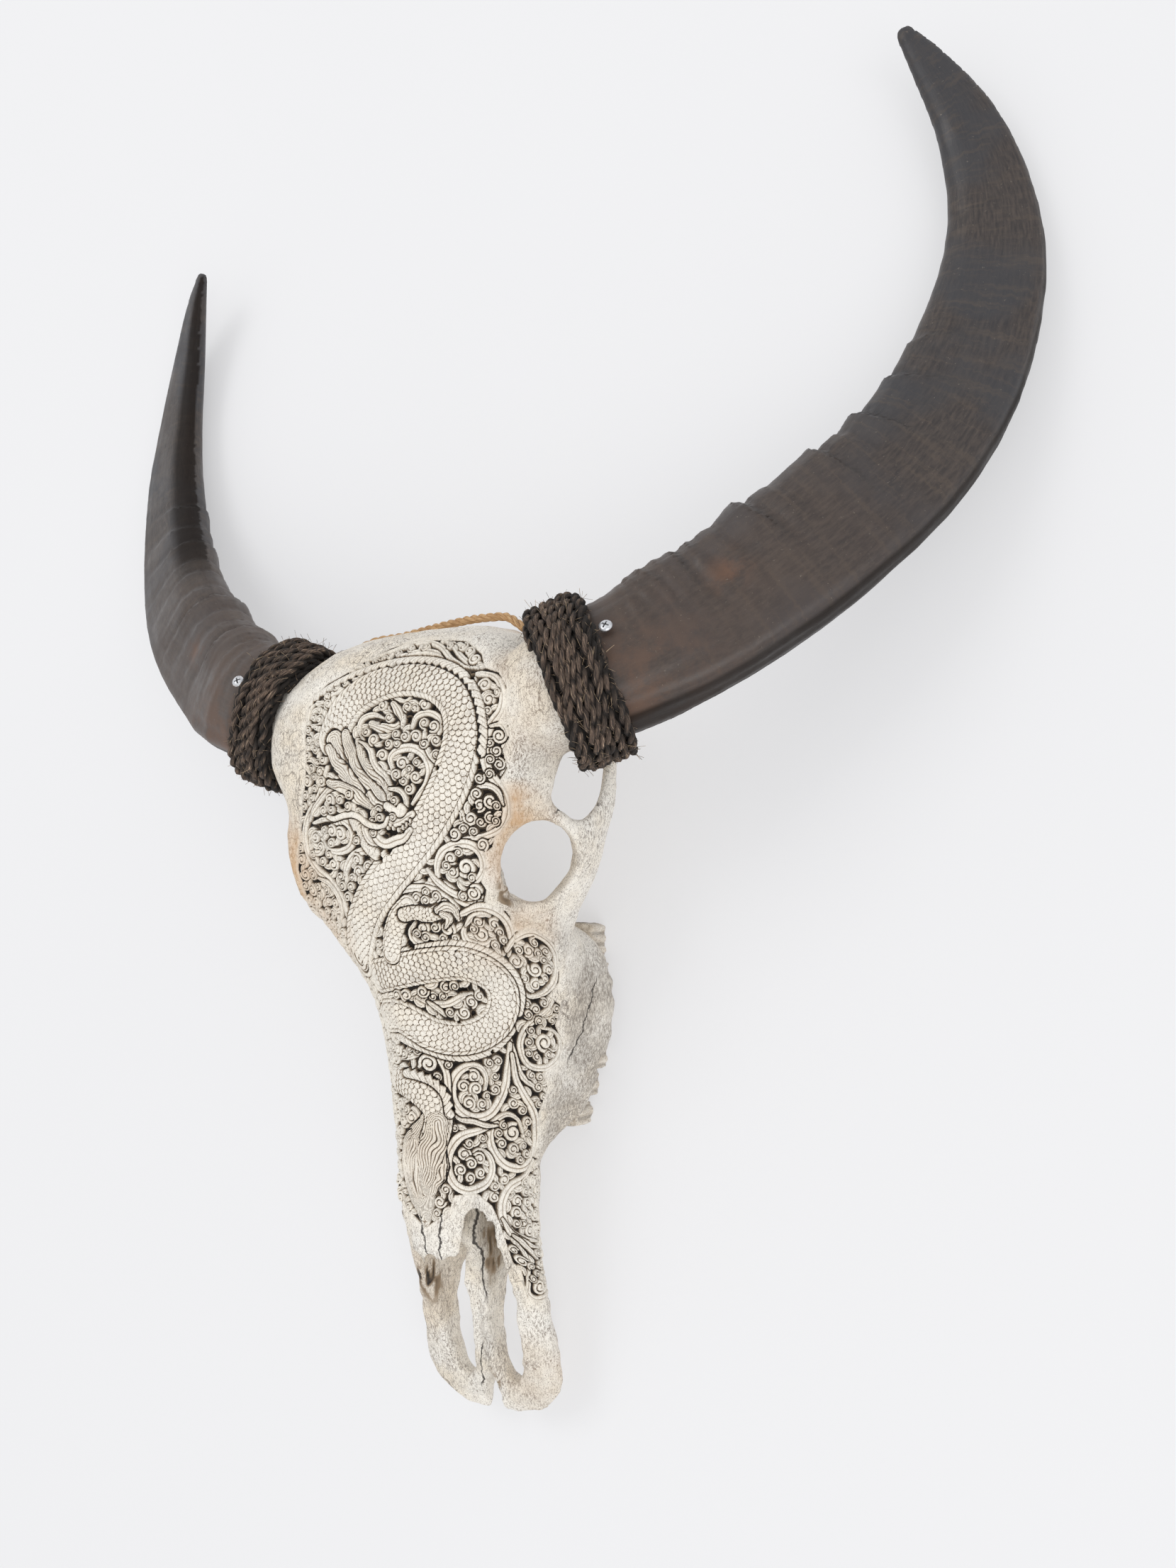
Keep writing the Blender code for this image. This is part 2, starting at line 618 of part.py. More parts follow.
def main():
    clear_scene()
    skull(material("bone", BONE))
    horns(material("horn", HORN))
    bindings(material("rope", ROPE))
    teeth(material("tooth", TOOTH))
    screws(material("zinc", ZINC, 1.0))
    cord(material("cord", CORD))


main()
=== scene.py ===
"""Looks of the carved buffalo skull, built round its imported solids."""

import math

import bmesh
import bpy
import numpy as np
from mathutils import Matrix, Vector
from mathutils.bvhtree import BVHTree


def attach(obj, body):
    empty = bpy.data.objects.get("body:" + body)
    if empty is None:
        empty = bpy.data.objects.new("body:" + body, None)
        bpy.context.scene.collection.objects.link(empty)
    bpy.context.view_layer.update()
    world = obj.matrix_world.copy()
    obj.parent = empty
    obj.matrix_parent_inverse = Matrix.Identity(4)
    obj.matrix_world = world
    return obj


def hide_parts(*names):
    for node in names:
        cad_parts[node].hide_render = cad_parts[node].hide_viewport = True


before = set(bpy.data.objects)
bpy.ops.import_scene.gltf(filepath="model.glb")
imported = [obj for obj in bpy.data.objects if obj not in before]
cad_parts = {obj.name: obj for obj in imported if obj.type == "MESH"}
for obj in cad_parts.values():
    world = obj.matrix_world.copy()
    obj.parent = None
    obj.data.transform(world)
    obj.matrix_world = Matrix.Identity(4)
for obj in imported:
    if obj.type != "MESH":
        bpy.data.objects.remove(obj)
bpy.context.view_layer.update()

# Camera. The photograph was taken from in front of the face, a little to the animal's left.
# Its place was found from the outline of the bone and horns. Lengths are millimetres from the
# poll along Y and from the table along Z, as the carving's marks below are read through it too.
POLL_TO_ORIGIN = 77.2
PHOTO_WIDE, PHOTO_HIGH = 1659, 2212
FOCAL_PIXELS = 1737.149
SENSOR_WIDE = 36
AIM = np.array((90.13, -105.468, 62.792))
CAMERA_AWAY = 821.538
TURN, TIP = math.radians(28.867), math.radians(-6.597)
camera_back = np.array((math.sin(TURN) * math.cos(TIP), math.sin(TIP), math.cos(TURN) * math.cos(TIP)))
camera_right = np.cross((0, 1, 0), camera_back)
camera_right /= np.linalg.norm(camera_right)
camera_up = np.cross(camera_back, camera_right)
camera_place = AIM + camera_back * CAMERA_AWAY


def in_metres(points):
    """Points in millimetres from the poll, as metres in the object's own frame."""
    moved = np.array(points, float)
    moved[..., 1] += POLL_TO_ORIGIN
    return moved * 0.001


lens = bpy.data.cameras.new("camera")
lens.sensor_width = SENSOR_WIDE
lens.sensor_fit = "HORIZONTAL"
lens.lens = FOCAL_PIXELS / PHOTO_WIDE * SENSOR_WIDE
camera = bpy.data.objects.new("camera", lens)
bpy.context.scene.collection.objects.link(camera)
camera.matrix_world = Matrix((
    (camera_right[0], camera_up[0], camera_back[0], 0),
    (camera_right[1], camera_up[1], camera_back[1], 0),
    (camera_right[2], camera_up[2], camera_back[2], 0),
    (0, 0, 0, 1),
))
camera.location = in_metres(camera_place)
lens.clip_start, lens.clip_end = 0.05, 30
bpy.context.scene.camera = camera

# Bone. One skull, cleaned and whitened, with a fine dark grain rubbed into its pores and
# rust-coloured stains round the eyes and the muzzle. It is one closed piece.
BONE_GRAIN, BONE_ROUNDS = 0.0023, 14


def link(obj):
    bpy.context.scene.collection.objects.link(obj)
    return obj


def mesh_from(name, points, faces, looks=()):
    """An object from points in metres and faces."""
    data = bpy.data.meshes.new(name)
    data.from_pydata([], [], [])
    points = np.asarray(points, np.float32)
    faces = np.asarray(faces, np.int32)
    size = faces.shape[1]
    data.vertices.add(len(points))
    data.vertices.foreach_set("co", points.ravel())
    data.loops.add(faces.size)
    data.loops.foreach_set("vertex_index", faces.ravel())
    data.polygons.add(len(faces))
    data.polygons.foreach_set("loop_start", np.arange(0, faces.size, size, dtype=np.int32))
    data.polygons.foreach_set("loop_total", np.full(len(faces), size, np.int32))
    data.update(calc_edges=True)
    data.shade_smooth()
    for look in looks:
        data.materials.append(look)
    return link(bpy.data.objects.new(name, data))


def points_of(data):
    flat = np.zeros(len(data.vertices) * 3, np.float32)
    data.vertices.foreach_get("co", flat)
    return flat.reshape(-1, 3).astype(float)


def normals_of(data):
    flat = np.zeros(len(data.vertices) * 3, np.float32)
    data.vertices.foreach_get("normal", flat)
    return flat.reshape(-1, 3).astype(float)


def fine_copy(node, name, grain):
    """The CAD node's shape again as an even, closed mesh of its own."""
    made = link(bpy.data.objects.new(name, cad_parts[node].data.copy()))
    weld = bmesh.new()
    weld.from_mesh(made.data)
    bmesh.ops.remove_doubles(weld, verts=weld.verts, dist=1e-6)
    weld.to_mesh(made.data)
    weld.free()
    made.data.materials.clear()
    even = made.modifiers.new("even", "REMESH")
    even.mode = "VOXEL"
    even.voxel_size = grain
    graph = bpy.context.evaluated_depsgraph_get()
    data = bpy.data.meshes.new_from_object(made.evaluated_get(graph))
    made.modifiers.clear()
    made.data = data
    data.name = name
    data.shade_smooth()
    return made


def relax(data, rounds, pull=0.5, push=-0.53):
    """Takes out facets and steps without thinning the bars: each round pulls in, then pushes out."""
    points = points_of(data)
    pairs = np.zeros(len(data.edges) * 2, np.int32)
    data.edges.foreach_get("vertices", pairs)
    a, b = pairs[::2], pairs[1::2]
    count = len(points)
    degree = np.maximum(np.bincount(a, minlength=count) + np.bincount(b, minlength=count), 1)
    for _ in range(rounds):
        for share in (pull, push):
            for axis in range(3):
                line = points[:, axis]
                mean = np.bincount(a, line[b], count) + np.bincount(b, line[a], count)
                points[:, axis] = line + share * (mean / degree - line)
    data.vertices.foreach_set("co", points.astype(np.float32).ravel())
    data.update()


def noise_at(points, size, seed=0):
    """Smooth value noise from 0 to 1 at each point; size is the width of a lump in the points' unit."""
    cell = np.asarray(points, float) / size + seed * 17.31
    low = np.floor(cell)
    part = cell - low
    part = part * part * (3 - 2 * part)
    low = low.astype(np.int64)
    total = np.zeros(len(low))
    dims = low.shape[1]
    for corner in range(1 << dims):
        weight = np.ones(len(low))
        mixed = np.full(len(low), 1013 + seed, np.int64)
        for d in range(dims):
            bit = corner >> d & 1
            weight *= part[:, d] if bit else 1 - part[:, d]
            mixed = (mixed * 15731 + (low[:, d] + bit) * 789221) & 0x7FFFFFFF
        mixed = (mixed ^ (mixed >> 13)) & 0x7FFFFFFF
        mixed = (mixed * (mixed * mixed % 1000003 * 15731 % 1000003 + 789221)) & 0x7FFFFFFF
        mixed = (mixed ^ (mixed >> 11)) & 0x7FFFFFFF
        total += weight * (mixed % 65536) / 65535
    return total


bone = fine_copy("skull", "bone", BONE_GRAIN)
relax(bone.data, BONE_ROUNDS)

# Bone's finish: warm white, mottled, with a fine dark grain drawn out along the face. The
# attributes say where dark wax and soot ("hollow"), rust ("stain") and dirt ("grey") have gathered,
# and where handling has left the bone clean ("rubbed"). "hollow" and "grey" also carry painted shade
# inside the nose, and "hollow" carries it in the carving's pierced and low places.


class Shading:
    """A material's node tree, with short ways to add and join its nodes."""

    def __init__(self, name):
        self.material = bpy.data.materials.new(name)
        self.material.use_nodes = True
        self.tree = self.material.node_tree
        self.shader = self.tree.nodes["Principled BSDF"]
        self.place = self.tree.nodes.new("ShaderNodeTexCoord").outputs["Object"]

    def node(self, kind, **values):
        made = self.tree.nodes.new("ShaderNode" + kind)
        for name, value in values.items():
            setattr(made, name, value)
        return made

    def feed(self, socket, value):
        if isinstance(value, bpy.types.NodeSocket):
            self.tree.links.new(value, socket)
        else:
            socket.default_value = value

    def stretched(self, scale):
        made = self.node("Mapping")
        self.feed(made.inputs["Vector"], self.place)
        made.inputs["Scale"].default_value = scale
        return made.outputs["Vector"]

    def noise(self, where, scale, detail=4.0, rough=0.55, bend=0.0):
        made = self.node("TexNoise")
        self.feed(made.inputs["Vector"], where)
        made.inputs["Scale"].default_value = scale
        made.inputs["Detail"].default_value = detail
        made.inputs["Roughness"].default_value = rough
        made.inputs["Distortion"].default_value = bend
        return made.outputs["Fac"]

    def between(self, value, low, high, start=0.0, end=1.0):
        made = self.node("MapRange", interpolation_type="SMOOTHSTEP")
        self.feed(made.inputs["Value"], value)
        for name, number in (("From Min", low), ("From Max", high), ("To Min", start), ("To Max", end)):
            self.feed(made.inputs[name], number)
        return made.outputs["Result"]

    def sums(self, kind, a, b=0.0, c=None):
        made = self.node("Math", operation=kind)
        self.feed(made.inputs[0], a)
        self.feed(made.inputs[1], b)
        if c is not None:
            self.feed(made.inputs[2], c)
        return made.outputs[0]

    def mixed(self, share, a, b):
        made = self.node("Mix", data_type="RGBA", blend_type="MIX")
        self.feed(made.inputs["Factor"], share)
        self.feed(made.inputs["A"], a if isinstance(a, bpy.types.NodeSocket) else (*a, 1))
        self.feed(made.inputs["B"], b if isinstance(b, bpy.types.NodeSocket) else (*b, 1))
        return made.outputs["Result"]

    def attribute(self, name):
        made = self.node("Attribute", attribute_name=name)
        return made.outputs["Fac"]

    def bump(self, height, strength, reach):
        made = self.node("Bump")
        self.feed(made.inputs["Height"], height)
        made.inputs["Strength"].default_value = strength
        made.inputs["Distance"].default_value = reach
        self.feed(self.shader.inputs["Normal"], made.outputs["Normal"])

    def colour(self, value):
        self.feed(self.shader.inputs["Base Color"], value)

    def rough(self, value):
        self.feed(self.shader.inputs["Roughness"], value)


# Splits in the dry bone: a point on each, the way across it, how far it runs and half its width, in
# millimetres. They run down the nose's middle bar and its end plates, and over the cheek arch. The
# first is no split but a black line of painted shade beside the middle bar.
BONE_CRACKS_AND_SHADE_LINE = (
    ((6, -416, 62), (1, 0.03, 0), 40, 1.2),
    ((-4, -497, 44), (1, -0.2, 0), 20, 0.7),
    ((-3, -402, 108), (1, 0.1, 0), 24, 0.8),
    ((9, -398, 110), (1, -0.12, 0), 22, 0.8),
    ((112, -128, 112), (0.3, 0.9, 0.3), 22, 0.7),
    ((77, -262, 42), (0.2, 0.25, 1), 34, 0.8),
)
WHITE_BONE, CREAM_BONE, CHALK = (0.95, 0.905, 0.82), (0.90, 0.805, 0.66), (0.955, 0.93, 0.875)
GRAIN_BROWN, PORE_BROWN, THREAD_BROWN = (0.235, 0.185, 0.15), (0.13, 0.105, 0.09), (0.17, 0.135, 0.115)
CRAZE_BROWN, SPLIT_AND_SHADE_BLACK = (0.14, 0.11, 0.09), (0.028, 0.022, 0.018)
RUST, GREY_BONE, RUBBED_BONE = (0.60, 0.36, 0.17), (0.27, 0.235, 0.20), (0.97, 0.915, 0.815)
THIN_WAX_AND_SHADE, THICK_WAX_AND_SHADE = (0.29, 0.21, 0.135), (0.020, 0.015, 0.012)


def bone_look():
    look = Shading("bone")
    cloud = look.noise(look.place, 22, 3)
    grain = look.noise(look.stretched((1, 0.34, 1)), 880, 6, 0.72, 0.5)
    pores = look.noise(look.stretched((1, 0.6, 1)), 1700, 3, 0.6)
    threads = look.noise(look.stretched((1, 0.16, 0.8)), 300, 5, 0.62, 0.4)
    patches = look.noise(look.place, 55, 4, 0.6)
    base = look.mixed(look.between(cloud, 0.35, 0.68), WHITE_BONE, CREAM_BONE)
    base = look.mixed(look.sums("MULTIPLY", look.between(patches, 0.42, 0.66), 0.4), base, CHALK)
    speckled = look.between(patches, 0.36, 0.64, 0.14, 0.95)
    specks = look.sums("MULTIPLY", look.between(grain, 0.485, 0.62), speckled)
    base = look.mixed(specks, base, GRAIN_BROWN)
    base = look.mixed(look.sums("MULTIPLY", look.between(pores, 0.56, 0.66), 0.85), base, PORE_BROWN)
    thread = look.between(look.sums("ABSOLUTE", look.sums("SUBTRACT", threads, 0.5)), 0.003, 0.015, 0.85, 0.0)
    thread = look.sums("MULTIPLY", thread, look.between(cloud, 0.36, 0.6, 0.25, 1.0))
    base = look.mixed(thread, base, THREAD_BROWN)
    cracked = look.node("TexVoronoi", feature="DISTANCE_TO_EDGE")
    bent = look.node("VectorMath", operation="MULTIPLY_ADD")
    wander = look.node("TexNoise")
    look.feed(wander.inputs["Vector"], look.place)
    wander.inputs["Scale"].default_value = 60
    look.feed(bent.inputs[0], wander.outputs["Color"])
    bent.inputs[1].default_value = (0.02, 0.02, 0.02)
    look.feed(bent.inputs[2], look.place)
    look.feed(cracked.inputs["Vector"], bent.outputs[0])
    cracked.inputs["Scale"].default_value = 70
    crack = look.sums("MULTIPLY", look.between(cracked.outputs["Distance"], 0.0, 0.035, 1.0, 0.0),
                      look.between(cloud, 0.48, 0.62, 0.0, 0.7))
    base = look.mixed(crack, base, CRAZE_BROWN)
    stain = look.sums("MULTIPLY", look.attribute("stain"), look.between(patches, 0.3, 0.62, 0.35, 1.0))
    base = look.mixed(look.sums("MULTIPLY", stain, 0.8), base, RUST)
    grey = look.sums("MULTIPLY", look.attribute("grey"), look.between(grain, 0.36, 0.62, 0.25, 0.95))
    base = look.mixed(grey, base, GREY_BONE)
    base = look.mixed(look.sums("MULTIPLY", look.attribute("rubbed"), 0.45), base, RUBBED_BONE)
    # Dark wax and soot, and painted shade inside the nose and in the carving's pierced and low places.
    hollow = look.attribute("hollow")
    wax_and_shade = look.sums("MULTIPLY", hollow, look.between(cloud, 0.3, 0.7, 0.85, 1.1))
    base = look.mixed(look.between(wax_and_shade, 0.12, 0.58), base, THIN_WAX_AND_SHADE)
    base = look.mixed(look.between(wax_and_shade, 0.48, 0.88), base, THICK_WAX_AND_SHADE)
    # Black lines: the splits, and one line of painted shade beside the nose's middle bar.
    for centre, across, reach, half in BONE_CRACKS_AND_SHADE_LINE:
        offset = look.node("VectorMath", operation="SUBTRACT")
        look.feed(offset.inputs[0], look.place)
        offset.inputs[1].default_value = in_metres(centre)
        side = look.node("VectorMath", operation="DOT_PRODUCT")
        look.feed(side.inputs[0], offset.outputs[0])
        side.inputs[1].default_value = Vector(across).normalized()
        far = look.node("VectorMath", operation="LENGTH")
        look.feed(far.inputs[0], offset.outputs[0])
        wavy = look.sums("MULTIPLY_ADD", look.noise(look.place, 130, 4), 0.007, -0.0035)
        split = look.between(look.sums("ABSOLUTE", look.sums("ADD", side.outputs["Value"], wavy)),
                             half * 0.0004, half * 0.001, 0.92, 0.0)
        fading = look.between(far.outputs["Value"], reach * 0.0007, reach * 0.001, 1.0, 0.0)
        base = look.mixed(look.sums("MULTIPLY", split, fading), base, SPLIT_AND_SHADE_BLACK)
    look.colour(base)
    look.rough(look.between(grain, 0.3, 0.7, 0.5, 0.78))
    look.shader.inputs["Specular IOR Level"].default_value = 0.35
    look.bump(look.sums("MULTIPLY_ADD", grain, -0.7, look.sums("MULTIPLY", pores, -0.5)), 0.5, 0.0006)
    return look.material


bone_finish = bone_look()
bone.data.materials.append(bone_finish)


def keep(data, name, values):
    """Stores one number for each point of a mesh, for its material."""
    made = data.attributes.new(name, "FLOAT", "POINT")
    made.data.foreach_set("value", np.asarray(values, np.float32))


def near(points, centre, reach):
    """1 at the centre falling smoothly to 0 at the reach; all in millimetres from the poll."""
    gap = np.linalg.norm((points - np.array(centre)) / np.array(reach), axis=1)
    return np.clip(1 - gap, 0, 1) ** 0.8


def from_poll(points):
    moved = points * 1000
    moved[:, 1] -= POLL_TO_ORIGIN
    return moved


# Where rust has gathered: round the eye sockets, at the brow's lower edge, on the tuft and muzzle.
# Then the dirty places: the jaw's rim, the muzzle and beside the eye sockets, with painted shade inside the
# nose.
# Each has its centre and reach in millimetres and its strength.
RUST_SPOTS = (
    ((84, -148, 148), (26, 42, 26), 1.5), ((96, -133, 142), (30, 24, 26), 0.8),
    ((-84, -148, 148), (30, 42, 30), 1.3), ((72, -207, 121), (34, 28, 34), 1.1),
    ((-70, -168, 158), (26, 34, 28), 1.3), ((-52, -200, 150), (24, 32, 28), 1.2),
    ((55, -201, 145), (22, 20, 20), 0.7), ((2, -352, 121), (26, 46, 30), 0.5),
    ((40, -500, 40), (40, 40, 40), 0.35), ((-40, -430, 62), (30, 60, 40), 0.4),
    ((100, -66, 142), (40, 46, 44), 0.7), ((40, -300, 125), (40, 60, 40), 0.25),
)
DIRT_AND_SHADE_SPOTS = (
    ((77, -262, 44), (15, 44, 15), 0.9), ((82, -212, 92), (20, 24, 24), 0.7),
    ((-34, -446, 60), (15, 30, 20), 0.6), ((3, -482, 47), (6, 34, 12), 0.7),
    # These two are painted shade inside the nose, on either side of its middle bar.
    ((15, -418, 62), (13, 46, 22), 1.1), ((-9, -402, 66), (9, 30, 18), 0.9),
    ((106, -99, 148), (26, 26, 26), 0.45), ((44, -22, 154), (60, 26, 40), 0.3),
    ((80, -181, 142), (9, 17, 13), 0.9),
)


def gathered(mm, spots):
    return sum(near(mm, centre, reach) * strength for centre, reach, strength in spots)


def stain_at(mm):
    return np.clip(gathered(mm, RUST_SPOTS) * (0.55 + 0.9 * (noise_at(mm, 17, 3) - 0.35)), 0, 1)


def grey_at(mm):
    """Grey: unwashed bone low on the upper jaw's sides, greyer towards the bottom, the dirty places, and
    painted shade inside the nose.
    """
    side = np.clip((72 - mm[:, 2]) / 26, 0, 1) * np.clip((-205 - mm[:, 1]) / 25, 0, 1)
    side *= np.clip((mm[:, 1] + 372) / 30, 0, 1)
    # Greyer towards the bottom, below 56 mm.
    inside = np.clip((56 - mm[:, 2]) / 20, 0, 1) * (mm[:, 1] > -520) * 0.22
    found = np.maximum(side * 0.75, inside) * (0.5 + noise_at(mm, 14, 5))
    return np.clip(found + gathered(mm, DIRT_AND_SHADE_SPOTS), 0, 1)


def roughened(data):
    """Lumps on the jaw and muzzle, and the broken lower edge of the animal's left eye socket."""
    points, facing = points_of(data), normals_of(data)
    mm = from_poll(points)
    jaw = np.clip((90 - mm[:, 2]) / 30, 0, 1) * np.clip((-200 - mm[:, 1]) / 20, 0, 1)
    broken = near(mm, (80, -181, 142), (10, 20, 14))
    moved = (noise_at(mm, 13, 41) - 0.5) * 1.6 * jaw + (noise_at(mm, 5.5, 42) - 0.5) * (0.5 + 0.8 * jaw)
    moved += broken * (noise_at(mm, 5, 43) - 0.7) * 9
    points += facing * (moved * 0.001)[:, None]
    # Behind the palate the skull's floor is narrow, so that the eye socket is open to below.
    narrow = np.clip((mm[:, 1] + 212) / 14, 0, 1) * np.clip((-126 - mm[:, 1]) / 16, 0, 1)
    narrow *= np.clip((78 - mm[:, 2]) / 22, 0, 1) * np.clip((47 - np.abs(mm[:, 0])) / 11, 0, 1)
    points[:, 0] *= 1 - 0.72 * narrow
    # The jaw's rim comes down over the roots of the teeth, with a ragged edge.
    over_roots = np.clip((40 - mm[:, 2]) / 18, 0, 1) * np.clip((np.abs(mm[:, 0]) - 50) / 10, 0, 1)
    over_roots *= np.clip((-190 - mm[:, 1]) / 8, 0, 1) * np.clip((mm[:, 1] + 345) / 8, 0, 1)
    ragged = noise_at(np.stack((mm[:, 1], mm[:, 0] * 0.3), 1), 6.5, 44)
    points[:, 2] -= over_roots * (0.006 + 0.006 * ragged)
    points[:, 0] += np.sign(mm[:, 0]) * over_roots * 0.003
    data.vertices.foreach_set("co", points.astype(np.float32).ravel())
    data.update()


roughened(bone.data)

# Horns. Two hollow sheaths of horn, nearly black, ringed and flaking towards the base and
# polished at the tip, each pushed over a bony core of the skull. Their undersides and the creases of
# their folds carry painted shade.
# Each row is a point of the middle line with half the width and half the depth there.
HORN_LINES = {
    "left": (
        (121, -54, 137, 41, 34), (150, -41, 124, 43.5, 34), (187, -19, 108, 46, 33),
        (223, 6, 93, 47, 31.5), (262.5, 38, 76, 46.5, 29), (300.5, 75.5, 55, 43.5, 26),
        (333, 129, 35, 39.5, 22), (353, 195, 21.9, 33.5, 18.5), (355, 250, 17, 27, 15),
        (343, 305, 21.5, 20, 11.5), (323, 346, 33, 12, 8), (308, 371, 43, 4.5, 3.6),
    ),
    "right": (
        (113, -53, 126, 41, 36), (134, -45, 128.5, 43, 35), (162, -33, 121, 43.5, 33.5),
        (190, -16, 107.5, 43, 32), (223, 6, 93, 43, 31), (263, 38, 76, 43, 28.5), (301, 75, 55, 42, 25.5),
        (333.5, 128, 35, 38.5, 22), (353, 195, 21.9, 33, 18.5), (355, 250, 17, 27, 15),
        (343, 305, 21.5, 20, 11.5), (325, 346, 33, 12, 8), (308, 371, 43, 4.5, 3.6),
    ),
}
HORN_MIRROR = {"left": 1, "right": -1}
HORN_STATIONS = 240
HORN_LENGTH = 560
HORN_GRAIN, HORN_ROUNDS = 0.0026, 12


def curve_through(points, steps=12):
    """A smooth curve through the rows, this many steps to a span."""
    rows = np.asarray(points, float)
    rows = np.vstack((2 * rows[0] - rows[1], rows, 2 * rows[-1] - rows[-2]))
    found = []
    for a, b, c, d in zip(rows, rows[1:], rows[2:], rows[3:]):
        for k in range(steps):
            t = k / steps
            found.append(0.5 * (2 * b + (c - a) * t + (2 * a - 5 * b + 4 * c - d) * t * t
                                + (3 * b - a - 3 * c + d) * t ** 3))
    return np.array(found + [rows[-2]])


def evenly(rows, count, dims=3):
    """The curve's rows again, this many and the same distance apart."""
    reach = np.concatenate(([0], np.cumsum(np.linalg.norm(np.diff(rows[:, :dims], axis=0), axis=1))))
    want = np.linspace(0, reach[-1], count)
    return np.stack([np.interp(want, reach, rows[:, k]) for k in range(rows.shape[1])], 1)


def unit(vectors):
    return vectors / np.maximum(np.linalg.norm(vectors, axis=-1, keepdims=True), 1e-12)


def horn_frame(side):
    """Middle line, forward, width and depth directions and half sizes along one horn."""
    rows = evenly(curve_through(HORN_LINES[side]), HORN_STATIONS)
    ahead = unit(np.gradient(rows[:, :3], axis=0))
    across = unit(np.cross(ahead, (0.30, 0.12, 1)))
    deep = np.cross(across, ahead)
    flip = np.array((HORN_MIRROR[side], 1, 1))
    return rows[:, :3] * flip, ahead * flip, across * flip, deep * flip, rows[:, 3], rows[:, 4]


BLACK_HORN, DARK_HORN, SLATE_HORN = (0.031, 0.026, 0.026), (0.074, 0.058, 0.050), (0.040, 0.041, 0.047)
RING_BROWN, HORN_BROWN, HORN_RUST = (0.105, 0.078, 0.058), (0.088, 0.058, 0.043), (0.165, 0.080, 0.045)
HORN_DUST, FLAKE_PALE = (0.16, 0.12, 0.085), (0.34, 0.29, 0.23)
UNDERSIDE_SHADE_BLACK, CREASE_SHADE_BLACK = (0.014, 0.010, 0.008), (0.012, 0.009, 0.008)


def horn_look():
    look = Shading("horn")
    along, round_it = look.attribute("along"), look.attribute("round")
    spot = look.node("CombineXYZ")
    look.feed(spot.inputs[0], look.sums("MULTIPLY", along, 0.012))
    look.feed(spot.inputs[1], look.sums("MULTIPLY", round_it, 1.6))
    streaks = look.noise(spot.outputs[0], 9, 6, 0.65)
    rings = look.node("CombineXYZ")
    look.feed(rings.inputs[0], look.sums("MULTIPLY", along, 0.11))
    look.feed(rings.inputs[1], look.sums("MULTIPLY", round_it, 0.25))
    ringed = look.noise(rings.outputs[0], 2.2, 4, 0.6)
    wear = look.noise(look.place, 34, 6, 0.68)
    fine = look.noise(look.place, 420, 4, 0.7)
    clouds = look.noise(look.place, 17, 3, 0.5)
    base = look.mixed(look.between(streaks, 0.3, 0.72), BLACK_HORN, DARK_HORN)
    base = look.mixed(look.sums("MULTIPLY", look.between(clouds, 0.45, 0.62), 0.75), base, SLATE_HORN)
    base = look.mixed(look.sums("MULTIPLY", look.between(ringed, 0.48, 0.68), 0.34), base, RING_BROWN)
    brown = look.sums("MULTIPLY", look.attribute("brown"), look.between(wear, 0.25, 0.65, 0.3, 0.8))
    base = look.mixed(brown, base, HORN_BROWN)
    rust = look.sums("MULTIPLY", look.attribute("rust"), look.between(wear, 0.40, 0.60))
    base = look.mixed(look.sums("MULTIPLY", rust, 0.8), base, HORN_RUST)
    dust = look.sums("MULTIPLY", look.between(wear, 0.5, 0.68), look.attribute("dust"))
    base = look.mixed(look.sums("MULTIPLY", dust, 0.5), base, HORN_DUST)
    base = look.mixed(look.sums("MULTIPLY", look.between(fine, 0.64, 0.74), 0.4), base, FLAKE_PALE)
    # Painted shade on the horn's underside, with less sheen there.
    under = look.attribute("under")
    base = look.mixed(look.sums("MULTIPLY", under, 0.85), base, UNDERSIDE_SHADE_BLACK)
    # Painted shade in the creases of the folds.
    base = look.mixed(look.attribute("crease"), base, CREASE_SHADE_BLACK)
    look.colour(base)
    look.rough(look.between(wear, 0.3, 0.7, 0.34, 0.52))
    look.feed(look.shader.inputs["Specular IOR Level"], look.between(under, 0, 1, 0.45, 0.12))
    look.bump(look.sums("MULTIPLY_ADD", streaks, 0.4, look.sums("MULTIPLY", fine, 0.25)), 0.4, 0.0008)
    return look.material


# How far along each horn its folds stand, and how tall they are.
HORN_FOLDS = {
    "left": ((50, 0.8), (60, 1.0), (69, 1.6), (79, 1.0), (88, 1.9), (101, 1.0), (118, 0.9), (145, 2.6),
             (164, 0.7), (200, 2.6), (222, 0.8), (245, 2.6), (284, 1.9), (318, 0.9)),
    "right": ((36, 1.2), (52, 1.0), (81, 2.6), (104, 1.0), (128, 0.9), (153, 3.2), (176, 1.0), (205, 1.1),
              (232, 1.2), (264, 2.0), (292, 1.2), (320, 1.6)),
}


def folded(along, wide, side):
    """Folds of the horn's inner edge, as height in millimetres and painted shade in the crease."""
    height, crease = np.zeros(len(along)), np.zeros(len(along))
    across = np.clip(0.42 - 0.62 * wide, 0, 1)
    for place, tall in HORN_FOLDS[side]:
        past = along - place - 7 * (wide + 1)
        rise = np.clip(1 + past / 26, 0, 1) ** 1.6 * (past < 0)
        fall = (past >= 0) * (np.exp(-np.maximum(past, 0) / 2.6) - 0.6 * np.exp(-((past - 5) / 4.5) ** 2))
        height += 1.35 * tall * (rise + fall) * across
        crease += min(tall / 2.5, 1) * np.exp(-((past - 2.2) / 1.3) ** 2) * np.clip(across * 1.5 - 0.35, 0, 1)
    return height, np.clip(crease, 0, 1) * 0.75


